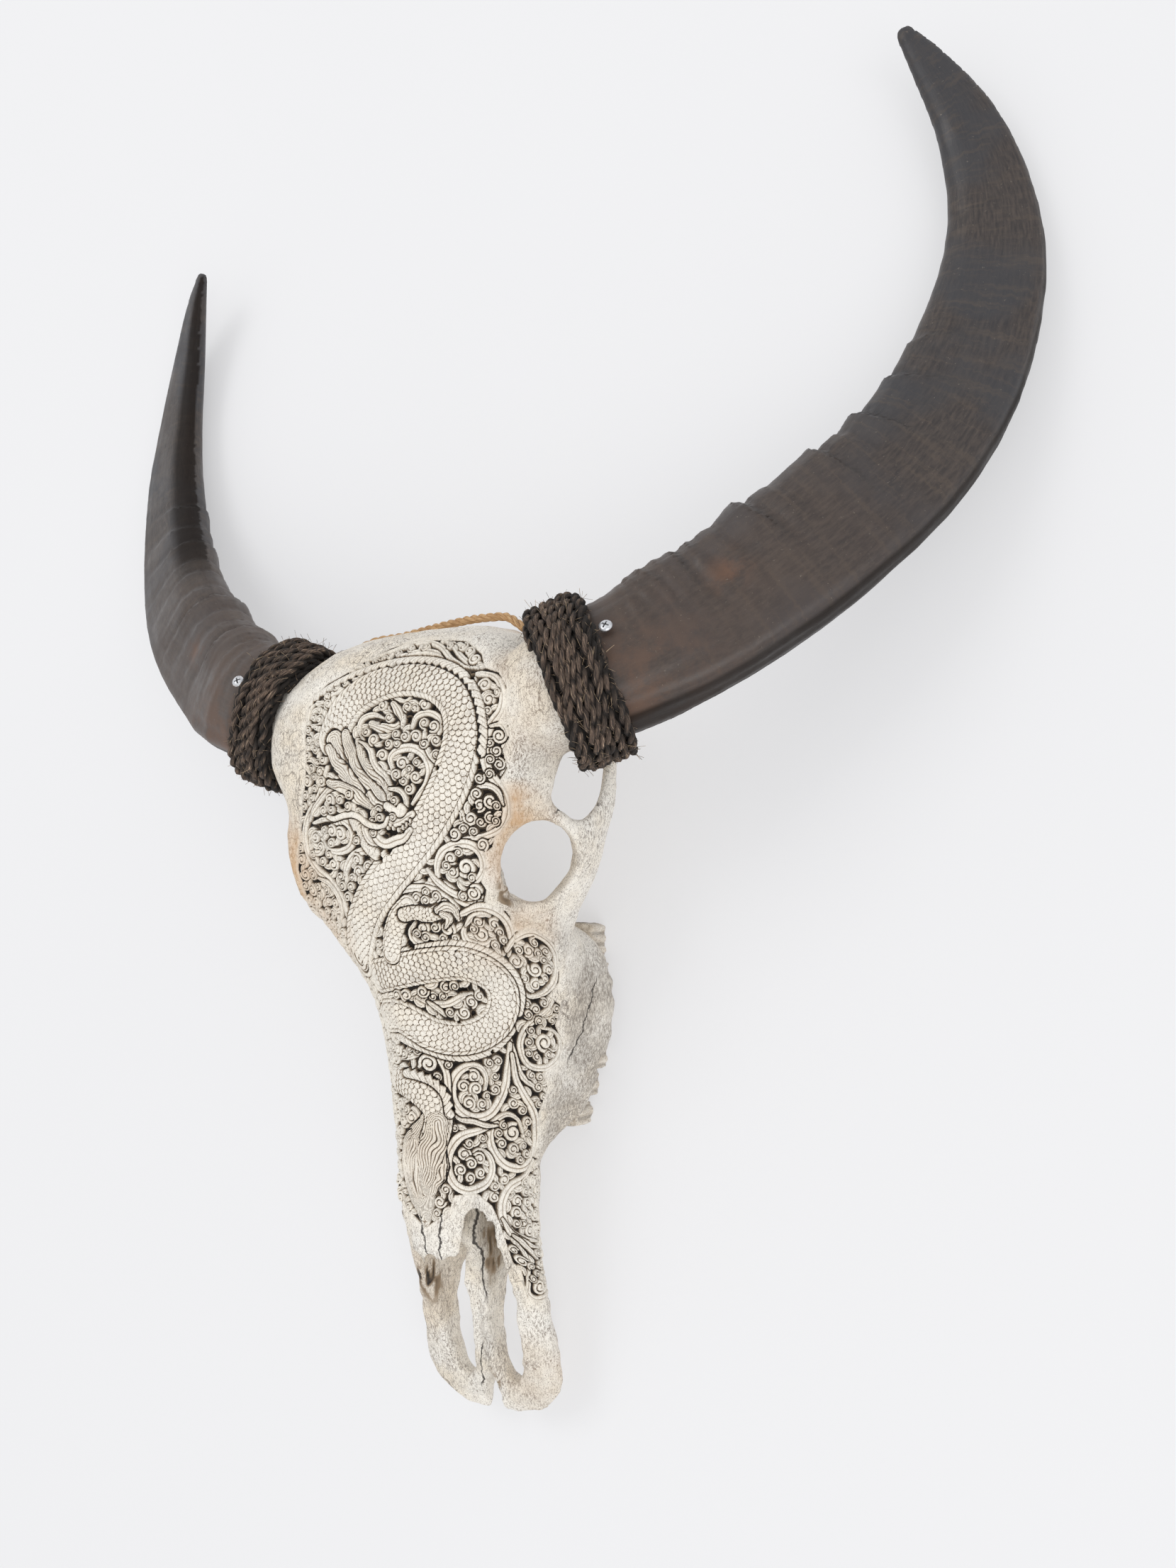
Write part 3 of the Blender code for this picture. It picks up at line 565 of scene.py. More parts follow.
horn_finish = horn_look()
for side in HORN_LINES:
    line, ahead, across, deep, half_wide, half_deep = horn_frame(side)
    sheath = fine_copy("horn_" + side, "horn_sheath_" + side, HORN_GRAIN)
    relax(sheath.data, HORN_ROUNDS)
    points = points_of(sheath.data)
    facing = normals_of(sheath.data)
    mm = from_poll(points)
    nearest = np.concatenate([
        np.argmin(((part[:, None, :] - line[None, :, :]) ** 2).sum(2), 1)
        for part in np.array_split(mm, 60)
    ])
    gap = mm - line[nearest]
    wide = (gap * across[nearest]).sum(1) / half_wide[nearest]
    high = (gap * deep[nearest]).sum(1) / half_deep[nearest]
    angle = np.arctan2(high, wide)
    share = nearest / (HORN_STATIONS - 1)
    along = share * HORN_LENGTH
    outside = (np.hypot(wide, high) > 0.8) & (share > 0.004)
    lumps = noise_at(np.stack((along, wide * 40, high * 40), 1), 26, 11)
    wavy = along + 7 * (lumps - 0.5)
    fold, crease = folded(wavy, wide, side)
    ripple = np.sin(wavy / 1.35) * 0.16 * np.clip(1.4 - share / 0.25, 0, 1) * np.clip(0.5 - wide, 0, 1)
    streaks = noise_at(np.stack((along / 60, angle * 9, share * 0), 1), 1.0, 4) - 0.5
    arris = 4.2 * np.exp(-((angle - 0.62) / 0.22) ** 2) - 1.2 * np.exp(-((angle - 1.5) / 0.5) ** 2)
    arris -= 1.6 * np.exp(-((angle - 0.05) / 0.34) ** 2)
    moved = fold + ripple + streaks * 0.5 * np.clip(1.1 - share, 0, 1) + (lumps - 0.5) * 1.5 * (1 - share)
    moved += arris * np.clip(1.15 - share, 0, 1) * np.clip(share / 0.12, 0, 1)
    points += facing * (moved * outside * 0.001)[:, None]
    points[:, 2] = np.maximum(points[:, 2], 0.0004)
    sheath.data.vertices.foreach_set("co", points.astype(np.float32).ravel())
    sheath.data.update()
    keep(sheath.data, "along", along)
    keep(sheath.data, "round", angle)
    browned = 0.75 * np.clip(1.3 - share / 0.13, 0, 1) * np.clip(0.2 + 0.3 * high + 0.7 * wide, 0, 1)
    browned += 0.8 * np.exp(-((share - 0.2) / 0.022) ** 2) * np.exp(-((wide + 0.15) / 0.22) ** 2) * (high > 0)
    # Painted shade below the front edge, and on the right horn's side turned away.
    shaded_underside = np.clip((0.58 - angle) / 0.12, 0, 1) * (angle > -2.2)
    if side == "right":
        shaded_far_side = np.clip((angle - 2.1) / 0.3, 0, 1) * np.clip((share - 0.3) / 0.15, 0, 1)
        shaded_underside = np.maximum(shaded_underside, shaded_far_side)
    keep(sheath.data, "under", shaded_underside * outside)
    brown_to = 0.42 if side == "left" else 0.52
    keep(sheath.data, "brown", np.clip(1.15 - share / brown_to, 0, 1))
    keep(sheath.data, "rust", np.clip(browned, 0, 1))
    dusty = 0.1 + 0.9 * np.clip(-wide - 0.45, 0, 1) * np.clip(1.3 - share / 0.5, 0, 1)
    keep(sheath.data, "dust", np.clip(dusty, 0, 1))
    keep(sheath.data, "crease", crease * outside)
    sheath.data.materials.append(horn_finish)
    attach(sheath, "root")
    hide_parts("horn_" + side)

# Rope bindings. Coarse dark palm fibre, laid in two plies and wound in three layers round the
# joint of each horn. The lowest follows the horn's bend, so that no light shows behind it.


def rope_tree(name, plies):
    """Geometry nodes that lay plies round a curve and skin them, with ply numbers in attributes."""
    tree = bpy.data.node_groups.new(name, "GeometryNodeTree")
    tree.is_modifier = True
    face = tree.interface
    face.new_socket("Geometry", in_out="INPUT", socket_type="NodeSocketGeometry")
    for label, start in (("Ply radius", 0.0015), ("Ply offset", 0.0013), ("Lay length", 0.02),
                         ("Step", 0.0012)):
        face.new_socket(label, in_out="INPUT", socket_type="NodeSocketFloat").default_value = start
    face.new_socket("Finish", in_out="INPUT", socket_type="NodeSocketMaterial")
    face.new_socket("Geometry", in_out="OUTPUT", socket_type="NodeSocketGeometry")
    nodes, links = tree.nodes, tree.links
    start, end = nodes.new("NodeGroupInput"), nodes.new("NodeGroupOutput")
    even = nodes.new("GeometryNodeResampleCurve")
    even.mode = "LENGTH"
    links.new(start.outputs["Geometry"], even.inputs["Curve"])
    links.new(start.outputs["Step"], even.inputs["Length"])
    spot, tangent = nodes.new("GeometryNodeSplineParameter"), nodes.new("GeometryNodeInputTangent")
    normal = nodes.new("GeometryNodeInputNormal")
    side = nodes.new("ShaderNodeVectorMath")
    side.operation = "CROSS_PRODUCT"
    links.new(tangent.outputs[0], side.inputs[0])
    links.new(normal.outputs[0], side.inputs[1])

    def math_node(kind, a, b=None):
        made = nodes.new("ShaderNodeMath")
        made.operation = kind
        for socket, value in zip(made.inputs, (a, b)):
            if isinstance(value, bpy.types.NodeSocket):
                links.new(value, socket)
            elif value is not None:
                socket.default_value = value
        return made.outputs[0]

    def scaled(vector, amount):
        made = nodes.new("ShaderNodeVectorMath")
        made.operation = "SCALE"
        links.new(vector, made.inputs[0])
        links.new(amount, made.inputs["Scale"])
        return made.outputs[0]

    ring = nodes.new("GeometryNodeCurvePrimitiveCircle")
    ring.inputs["Resolution"].default_value = 7
    links.new(start.outputs["Ply radius"], ring.inputs["Radius"])
    marked_ring = nodes.new("GeometryNodeStoreNamedAttribute")
    marked_ring.inputs["Name"].default_value = "round"
    ring_spot = nodes.new("GeometryNodeSplineParameter")
    links.new(ring.outputs["Curve"], marked_ring.inputs["Geometry"])
    links.new(ring_spot.outputs["Factor"], marked_ring.inputs["Value"])
    joined = nodes.new("GeometryNodeJoinGeometry")
    turns = math_node("MULTIPLY", math_node("DIVIDE", spot.outputs["Length"], start.outputs["Lay length"]),
                      2 * math.pi)
    for k in range(plies):
        angle = math_node("ADD", turns, 2 * math.pi * k / plies)
        offset = nodes.new("ShaderNodeVectorMath")
        offset.operation = "ADD"
        reach = start.outputs["Ply offset"]
        links.new(scaled(normal.outputs[0], math_node("MULTIPLY", math_node("COSINE", angle), reach)),
                  offset.inputs[0])
        links.new(scaled(side.outputs[0], math_node("MULTIPLY", math_node("SINE", angle), reach)),
                  offset.inputs[1])
        marked = nodes.new("GeometryNodeStoreNamedAttribute")
        marked.inputs["Name"].default_value = "along"
        links.new(even.outputs["Curve"], marked.inputs["Geometry"])
        links.new(math_node("ADD", spot.outputs["Length"], 0.37 * k), marked.inputs["Value"])
        moved = nodes.new("GeometryNodeSetPosition")
        links.new(marked.outputs["Geometry"], moved.inputs["Geometry"])
        links.new(offset.outputs[0], moved.inputs["Offset"])
        skin = nodes.new("GeometryNodeCurveToMesh")
        skin.inputs["Fill Caps"].default_value = True
        links.new(moved.outputs["Geometry"], skin.inputs["Curve"])
        links.new(marked_ring.outputs["Geometry"], skin.inputs["Profile Curve"])
        links.new(skin.outputs["Mesh"], joined.inputs["Geometry"])
    real = nodes.new("GeometryNodeRealizeInstances")
    finish = nodes.new("GeometryNodeSetMaterial")
    links.new(joined.outputs["Geometry"], real.inputs["Geometry"])
    links.new(real.outputs["Geometry"], finish.inputs["Geometry"])
    links.new(start.outputs["Finish"], finish.inputs["Material"])
    links.new(finish.outputs["Geometry"], end.inputs["Geometry"])
    return tree


def through_nodes(obj, tree, values):
    """Runs a tree on an object with the named inputs and gives the result as a plain mesh object."""
    step = obj.modifiers.new("nodes", "NODES")
    step.node_group = tree
    for item in tree.interface.items_tree:
        if item.in_out == "INPUT" and item.name in values:
            step[item.identifier] = values[item.name]
    graph = bpy.context.evaluated_depsgraph_get()
    name = obj.name
    data = bpy.data.meshes.new_from_object(obj.evaluated_get(graph))
    bpy.data.objects.remove(obj)
    data.name = name
    data.shade_smooth()
    return link(bpy.data.objects.new(name, data))


def poly_curve(name, paths):
    """A curve object of straight runs through points in metres."""
    data = bpy.data.curves.new(name, "CURVE")
    data.dimensions = "3D"
    for path in paths:
        run = data.splines.new("POLY")
        run.points.add(len(path) - 1)
        run.points.foreach_set("co", np.hstack((path, np.ones((len(path), 1)))).astype(np.float32).ravel())
    return link(bpy.data.objects.new(name, data))


def fibre_look(name, dark, light, glint):
    """Twisted plant fibre: dark and light streaks that run round each ply at a slant, the brightest a painted
    highlight.
    """
    look = Shading(name)
    spot = look.node("CombineXYZ")
    along, round_it = look.attribute("along"), look.attribute("round")
    look.feed(spot.inputs[0], look.sums("MULTIPLY", along, 60.0))
    look.feed(spot.inputs[1], look.sums("MULTIPLY_ADD", along, 130.0, look.sums("MULTIPLY", round_it, 5.0)))
    strands = look.noise(spot.outputs[0], 2.6, 4, 0.7)
    patches = look.noise(look.place, 90, 3, 0.6)
    base = look.mixed(look.between(strands, 0.40, 0.60), dark, light)
    # Painted highlight ("glint") on the strands' crests.
    base = look.mixed(look.between(strands, 0.58, 0.68, 0.0, 0.9), base, glint)
    base = look.mixed(look.between(patches, 0.4, 0.7, 0.0, 0.45), base, dark)
    # Painted shade in the hollows between a binding's turns.
    base = look.mixed(look.attribute("deep"), base, (0.008, 0.006, 0.005))
    look.colour(base)
    look.rough(look.between(strands, 0.3, 0.7, 0.75, 0.95))
    look.bump(strands, 0.9, 0.0006)
    return look.material


rope_finish = fibre_look("dark_fibre", (0.020, 0.014, 0.011), (0.205, 0.140, 0.102), (0.70, 0.53, 0.37))
rope_two_ply = rope_tree("laid_rope", 2)
BINDING_REACH = {"left": (-17, 25), "right": (-19, 19)}
# Each layer's height over the horn in millimetres, how far it follows the horn's bend, and its
# turns. The base is the first quarter of the horn's middle line.
ROPE_LAYERS = ((2.4, 1.0, 8), (6.2, 0.45, 8), (10.4, 0.45, 7))
ROPE_HALF = 3.1
STEPS_A_TURN = 90
BASE_ROWS = 60


def binding_base(side):
    """The horn's straight base: middle, forward, width and depth directions, half sizes."""
    rows = evenly(curve_through(HORN_LINES[side]), 25)
    ahead = unit(rows[1, :3] - rows[0, :3])
    across = unit(np.cross(ahead, (0.30, 0.12, 1)))
    deep = np.cross(across, ahead)
    return rows[0, :3], ahead, across, deep, rows[0, 3], rows[0, 4]


def wound_rope(side, lift, hug, turns, seed):
    """Middle line of one layer of rope wound round a horn's base, in metres."""
    middle, ahead, across, deep, half_wide, half_deep = binding_base(side)
    line, _, _, _, wide_there, deep_there = horn_frame(side)
    line = line * (HORN_MIRROR[side], 1, 1)
    low, high = BINDING_REACH[side]
    pitch = (high - low - 2 * ROPE_HALF) / turns
    share = np.linspace(0, 1, turns * STEPS_A_TURN)
    angle = share * turns * 2 * np.pi + seed
    round_and_on = np.stack((np.cos(angle) * 3, np.sin(angle) * 3, share * turns * 1.7), 1)
    wander = noise_at(round_and_on, 1.0, seed) - 0.5
    station = low + ROPE_HALF + share * turns * pitch + wander * 4.2
    swell = 1 - 0.35 * (2 * share - 1) ** 6
    out = (lift + 2.2 * wander) * swell
    reach = np.linalg.norm(line - line[0], axis=1)[:BASE_ROWS]

    def along_horn(values):
        return np.interp(station, reach, values[:BASE_ROWS])

    centre = middle + ahead * station[:, None]
    bent = np.stack([along_horn(line[:, k]) for k in range(3)], 1)
    centre = centre + hug * np.where(station[:, None] > 0, bent - centre, 0)
    wide_here = half_wide + hug * (along_horn(wide_there) - half_wide)
    deep_here = half_deep + hug * (along_horn(deep_there) - half_deep)
    ring = (centre + across * (np.cos(angle) * (wide_here + out))[:, None]
            + deep * (np.sin(angle) * (deep_here + out))[:, None])
    return in_metres(ring * np.array((HORN_MIRROR[side], 1, 1)))


def frayed_tree():
    """Geometry nodes that let stray ends of fibre stand out of a rope's surface."""
    tree = bpy.data.node_groups.new("frayed", "GeometryNodeTree")
    tree.is_modifier = True
    face = tree.interface
    face.new_socket("Geometry", in_out="INPUT", socket_type="NodeSocketGeometry")
    for label, start in (("Fibres per square metre", 11000.0), ("Longest", 0.011), ("Thickness", 0.00016)):
        face.new_socket(label, in_out="INPUT", socket_type="NodeSocketFloat").default_value = start
    face.new_socket("Finish", in_out="INPUT", socket_type="NodeSocketMaterial")
    face.new_socket("Geometry", in_out="OUTPUT", socket_type="NodeSocketGeometry")
    nodes, links = tree.nodes, tree.links
    start, end = nodes.new("NodeGroupInput"), nodes.new("NodeGroupOutput")
    spread = nodes.new("GeometryNodeDistributePointsOnFaces")
    spread.inputs["Seed"].default_value = 4
    links.new(start.outputs["Geometry"], spread.inputs["Mesh"])
    links.new(start.outputs["Fibres per square metre"], spread.inputs["Density"])
    bow = nodes.new("GeometryNodeCurveQuadraticBezier")
    bow.inputs["Resolution"].default_value = 5
    bow.inputs["Start"].default_value = (0, 0, -0.02)
    bow.inputs["Middle"].default_value = (0.6, 0.05, 0.01)
    bow.inputs["End"].default_value = (1, -0.05, 0.06)
    sized = nodes.new("GeometryNodeTransform")
    links.new(bow.outputs["Curve"], sized.inputs["Geometry"])
    whole = nodes.new("ShaderNodeCombineXYZ")
    for axis in range(3):
        links.new(start.outputs["Longest"], whole.inputs[axis])
    links.new(whole.outputs[0], sized.inputs["Scale"])
    ring = nodes.new("GeometryNodeCurvePrimitiveCircle")
    ring.inputs["Resolution"].default_value = 3
    links.new(start.outputs["Thickness"], ring.inputs["Radius"])
    skin = nodes.new("GeometryNodeCurveToMesh")
    skin.inputs["Fill Caps"].default_value = True
    links.new(sized.outputs["Geometry"], skin.inputs["Curve"])
    links.new(ring.outputs["Curve"], skin.inputs["Profile Curve"])
    lean = nodes.new("FunctionNodeRandomValue")
    lean.data_type = "FLOAT_VECTOR"
    lean.inputs["Min"].default_value = (-0.2, -0.12, 0)
    lean.inputs["Max"].default_value = (0.2, 0.08, 2 * math.pi)
    lean.inputs["Seed"].default_value = 9
    turned = nodes.new("FunctionNodeRotateRotation")
    turned.rotation_space = "LOCAL"
    as_turn = nodes.new("FunctionNodeEulerToRotation")
    links.new(lean.outputs["Value"], as_turn.inputs[0])
    links.new(spread.outputs["Rotation"], turned.inputs[0])
    links.new(as_turn.outputs[0], turned.inputs[1])
    longer = nodes.new("FunctionNodeRandomValue")
    longer.inputs[2].default_value, longer.inputs[3].default_value = 0.35, 1.0
    longer.inputs["Seed"].default_value = 3
    sown = nodes.new("GeometryNodeInstanceOnPoints")
    links.new(spread.outputs["Points"], sown.inputs["Points"])
    links.new(skin.outputs["Mesh"], sown.inputs["Instance"])
    links.new(turned.outputs[0], sown.inputs["Rotation"])
    links.new(longer.outputs[1], sown.inputs["Scale"])
    real, finish = nodes.new("GeometryNodeRealizeInstances"), nodes.new("GeometryNodeSetMaterial")
    links.new(sown.outputs["Instances"], real.inputs["Geometry"])
    links.new(real.outputs["Geometry"], finish.inputs["Geometry"])
    links.new(start.outputs["Finish"], finish.inputs["Material"])
    both = nodes.new("GeometryNodeJoinGeometry")
    links.new(start.outputs["Geometry"], both.inputs["Geometry"])
    links.new(finish.outputs["Geometry"], both.inputs["Geometry"])
    links.new(both.outputs["Geometry"], end.inputs["Geometry"])
    return tree


def straw_look():
    look = Shading("straw")
    kind = look.noise(look.place, 260, 2, 0.5)
    look.colour(look.mixed(look.between(kind, 0.42, 0.6), (0.085, 0.055, 0.038), (0.46, 0.34, 0.22)))
    look.rough(0.8)
    return look.material


# The top of a turn is looked for in cells this long, a little more than a turn's pitch, with room
# for this many round the horn.
CELL_LONG, CELLS_ROUND = 6.4, 40


def painted_shade_between_turns(data, side):
    """How far each place of a rope lies below the top of its turn, as painted shade from 0 to 1."""
    middle, ahead, across, deep, half_wide, half_deep = binding_base(side)
    gap = from_poll(points_of(data)) * (HORN_MIRROR[side], 1, 1) - middle
    beside, over = gap @ across / half_wide, gap @ deep / half_deep
    lift = (np.hypot(beside, over) - 1) * (half_wide + half_deep) / 2
    turned = ((np.arctan2(over, beside) + np.pi) * 5.7).astype(int)
    cell = ((gap @ ahead + 60) / CELL_LONG).astype(int) * CELLS_ROUND + turned
    top = np.zeros(cell.max() + 1)
    np.maximum.at(top, cell, np.minimum(lift, 15))
    return np.clip((top[cell] - lift - 1.0) / 2.6, 0, 0.94)


rope_frayed = frayed_tree()
straw_finish = straw_look()
for side in HORN_LINES:
    layers = [wound_rope(side, *layer, seed=2 + k) for k, layer in enumerate(ROPE_LAYERS)]
    rope = through_nodes(poly_curve("rope_" + side, layers), rope_two_ply, {
        "Ply radius": 0.00175, "Ply offset": 0.00145, "Lay length": 0.019, "Step": 0.0015,
        "Finish": rope_finish})
    rope = through_nodes(rope, rope_frayed, {"Finish": straw_finish})
    keep(rope.data, "deep", painted_shade_between_turns(rope.data, side))
    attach(rope, "root")
    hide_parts("rope_binding_" + side)

# Screws. Zinc-plated steel, with a domed round head and a cross recess, one beside each binding,
# driven through the horn into its bony core.
SCREW_RADIUS, SCREW_DOME, RECESS_DEEP = 4.2, 2.4, 1.5


def zinc_look():
    look = Shading("zinc")
    haze = look.noise(look.place, 900, 3, 0.6)
    base = look.mixed(look.between(haze, 0.35, 0.65), (0.80, 0.81, 0.83), (0.62, 0.63, 0.66))
    # Painted shade in the cross recess.
    look.colour(look.mixed(look.attribute("hollow"), base, (0.05, 0.045, 0.04)))
    look.rough(look.between(haze, 0.3, 0.7, 0.3, 0.45))
    look.shader.inputs["Metallic"].default_value = 0.75
    return look.material


def screw_head(side):
    """A square grid drawn into a round, domed and stamped with the cross, closed by its flat back."""
    base, ahead, across, deep, _, half_deep = binding_base(side)
    out = unit(deep * 0.94 - across * 0.34)
    right = unit(np.cross(out, ahead))
    up = np.cross(right, out)
    seat = base + ahead * (BINDING_REACH[side][1] + SCREW_RADIUS + 1.2) + out * (half_deep + 3.4)
    size = 45
    a, b = np.meshgrid(np.linspace(-1, 1, size), np.linspace(-1, 1, size))
    x, y = a * np.sqrt(1 - b * b / 2), b * np.sqrt(1 - a * a / 2)
    away = np.minimum(np.hypot(x, y), 1)
    slot = np.minimum(np.abs(x + y), np.abs(x - y)) / 1.414
    cross = np.clip((0.13 - slot) / 0.05, 0, 1) * np.clip((0.62 - away) / 0.12, 0, 1)
    dome = SCREW_DOME * np.sqrt(np.clip(1 - away ** 2 * 0.92, 0, 1)) - RECESS_DEEP * cross
    top = np.stack((x * SCREW_RADIUS, y * SCREW_RADIUS, dome), -1).reshape(-1, 3)
    under = top * (1, 1, 0)
    number = np.arange(size * size).reshape(size, size)
    quads = np.stack((number[:-1, :-1], number[:-1, 1:], number[1:, 1:], number[1:, :-1]), -1).reshape(-1, 4)
    loop = np.concatenate((number[0, :-1], number[:-1, -1], number[-1, :0:-1], number[:0:-1, 0]))
    after = np.roll(loop, -1)
    skirt = np.stack((after, loop, loop + size * size, after + size * size), 1)
    faces = np.vstack((quads, quads[:, ::-1] + size * size, skirt))
    local = np.vstack((top, under))
    placed = seat + local @ np.stack((right, up, out))
    if HORN_MIRROR[side] < 0:
        placed, faces = placed * (-1, 1, 1), faces[:, ::-1]
    made = mesh_from("screw_head_" + side, in_metres(placed), faces, [zinc_finish])
    # The cross recess is painted dark, as shade.
    keep(made.data, "hollow", np.concatenate((cross.ravel(), np.zeros(size * size))))
    return made


zinc_finish = zinc_look()
for side in HORN_LINES:
    head = screw_head(side)
    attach(head, "root")
    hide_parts("screw_" + side)

# Hanging cord. Tan plant fibre laid in three plies, tied under both bindings behind the poll. The
# skull hangs from its middle.
CORD_POINTS = ((-76, -8, 108), (-60, 0, 103), (-36, 1.2, 102), (-8, 2.7, 106), (22, 3.7, 110), (44, 2.7, 113),
               (59, 0.5, 114), (73, -9, 116))
cord_finish = fibre_look("tan_fibre", (0.42, 0.235, 0.105), (0.76, 0.50, 0.26), (0.90, 0.71, 0.44))
cord_line = in_metres(evenly(curve_through(CORD_POINTS), 60))
cord = through_nodes(poly_curve("cord", [cord_line]), rope_tree("laid_cord", 3), {
    "Ply radius": 0.00155, "Ply offset": 0.00145, "Lay length": 0.021, "Step": 0.001, "Finish": cord_finish})
keep(cord.data, "deep", np.zeros(len(cord.data.vertices)))
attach(cord, "root")
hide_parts("hanging_cord")

# Carved face. The front of the bone is cut in deep relief, partly pierced: a scaled dragon winds
# down it among scrolls and small curls, with dark wax left in every groove. The pierced places,
# the scales' free edges and the relief's low places are darkened further with painted shade. The
# relief is a closed shell set flush into the bone.

# It is laid out on a grid over the bone's front: u runs round the section from the midline and v
# along the skull, both in millimetres, with this step. The bone is first scanned more coarsely.
STEP = 0.4
COARSE = 1.5
SWEEP = np.radians(np.arange(-106, 106.1, 0.8))
coarse_v = np.arange(-470, -1, COARSE)
bone_tree = BVHTree.FromObject(bone, bpy.context.evaluated_depsgraph_get())


def axis_height(v):
    """Height of the middle of the bone's section at v, from which its outside is scanned."""
    return np.interp(v, (-470, -400, -330, -200, -120, -60, 0), (40, 52, 62, 84, 98, 100, 92))


def scan_bone():
    """How far out the bone's outside lies at each v and angle, in millimetres; 0 where it is open."""
    reach = np.zeros((len(coarse_v), len(SWEEP)))
    for i, v in enumerate(coarse_v):
        middle = axis_height(v)
        for k, angle in enumerate(SWEEP):
            way = Vector((math.sin(angle), 0, math.cos(angle)))
            start = Vector((0, (v + POLL_TO_ORIGIN) * 0.001, middle * 0.001)) + way * 0.2
            hit = bone_tree.ray_cast(start, -way, 0.2)
            reach[i, k] = 200 - hit[3] * 1000 if hit[0] is not None else 0
    return reach


def slid(values, steps, pick):
    """For each place along the second axis, the highest or lowest value within so many steps."""
    found = values.copy()
    for k in range(1, steps + 1):
        found[:, k:] = pick(found[:, k:], values[:, :-k])
        found[:, :-k] = pick(found[:, :-k], values[:, k:])
    return found


def soft(values, rounds):
    """Evens out a grid without moving its edges."""
    values = values.copy()
    for _ in range(rounds):
        values[1:-1] = values[1:-1] * 0.5 + (values[2:] + values[:-2]) * 0.25
        values[:, 1:-1] = values[:, 1:-1] * 0.5 + (values[:, 2:] + values[:, :-2]) * 0.25
    return values


scan = scan_bone()
bridged = slid(slid(scan, 28, np.maximum), 28, np.minimum)
open_there = bridged - scan > 7
for i in range(len(coarse_v)):
    good = ~open_there[i]
    scan[i] = np.interp(SWEEP, SWEEP[good], scan[i][good])
scan = soft(scan, 3)
flat_x = np.sin(SWEEP) * scan
flat_z = np.cos(SWEEP) * scan + axis_height(coarse_v)[:, None]
length = np.cumsum(np.hypot(np.diff(flat_x, axis=1), np.diff(flat_z, axis=1)), axis=1)
length = np.hstack((np.zeros((len(coarse_v), 1)), length))
length -= length[:, [len(SWEEP) // 2]]
grid_u = np.arange(-128, 128.01, STEP)
grid_v = np.arange(-455, -2, STEP)


def over_grid(values):
    """Values known at each coarse v and angle, on the fine grid of u and v."""
    by_u = np.stack([np.interp(grid_u, length[i], values[i]) for i in range(len(coarse_v))])
    place = (grid_v - coarse_v[0]) / COARSE
    low = np.clip(place.astype(int), 0, len(coarse_v) - 2)
    part = (place - low)[:, None]
    return by_u[low] * (1 - part) + by_u[low + 1] * part


ground = np.stack((over_grid(flat_x), np.repeat(grid_v[:, None], len(grid_u), 1), over_grid(flat_z)), -1)
holed = over_grid(open_there.astype(float)) > 0.02
inside_bone = np.abs(grid_u)[None, :] < over_grid(np.abs(length))[:, -1:] - 1
for axis in (0, 2):
    ground[..., axis] = soft(ground[..., axis], 12)
outward = unit(np.cross(np.gradient(ground, axis=1), np.gradient(ground, axis=0)))
middle = np.stack((ground[..., 0] * 0, ground[..., 1], ground[..., 0] * 0 + axis_height(grid_v)[:, None]), -1)
outward *= np.sign((outward * (ground - middle)).sum(-1, keepdims=True))
outward = unit(np.stack([soft(outward[..., k], 16) for k in range(3)], -1))
sight = ground - camera_place
depth = -(sight @ camera_back)
seen_x = PHOTO_WIDE / 2 + FOCAL_PIXELS * (sight @ camera_right) / depth
seen_y = PHOTO_HIGH / 2 - FOCAL_PIXELS * (sight @ camera_up) / depth
faces_camera = (outward * unit(sight)).sum(-1) < -0.03

# Marks were read off four enlargements of the photograph: left and top edge, and enlargement.
ENLARGED = {"brow": (360, 820, 2.9037), "cheek": (380, 1250, 3.136), "nose": (520, 1600, 3.92),
            "head": (470, 1040, 7.84)}


def in_photo(view, points):
    left, top, times = ENLARGED[view]
    points = np.asarray(points, float)
    return points / times + (left, top)


def laid_out(view, points):
    """Marks in an enlargement, as u and v on the bone's front."""
    found = []
    for x, y in in_photo(view, points):
        away = np.where(faces_camera[::4, ::4], np.hypot(seen_x[::4, ::4] - x, seen_y[::4, ::4] - y), 1e9)
        row, column = np.unravel_index(np.argmin(away), away.shape)
        rows = slice(max(row * 4 - 6, 0), row * 4 + 7)
        columns = slice(max(column * 4 - 6, 0), column * 4 + 7)
        away = np.where(faces_camera[rows, columns],
                        np.hypot(seen_x[rows, columns] - x, seen_y[rows, columns] - y), 1e9)
        row, column = np.unravel_index(np.argmin(away), away.shape)
        found.append((grid_u[columns][column], grid_v[rows][row]))
    return np.array(found)


def within(polygon, x, y):
    """Whether each place lies inside a polygon."""
    found = np.zeros(x.shape, bool)
    for (ax, ay), (bx, by) in zip(polygon, np.roll(polygon, -1, 0)):
        crossing = (ay > y) != (by > y)
        found ^= crossing & (x < (bx - ax) * (y - ay) / (by - ay + 1e-12) + ax)
    return found


def grown(mask, reach):
    """How far each place is from the mask, in millimetres, up to the reach."""
    away = np.where(mask, 0.0, reach + STEP)
    for _ in range(int(reach / STEP)):
        last = away
        away = away.copy()
        for axis in (0, 1):
            for sign in (1, -1):
                away = np.minimum(away, np.roll(last, sign, axis) + STEP)
        for rows in (1, -1):
            for columns in (1, -1):
                away = np.minimum(away, np.roll(last, (rows, columns), (0, 1)) + STEP * 1.414)
    return away


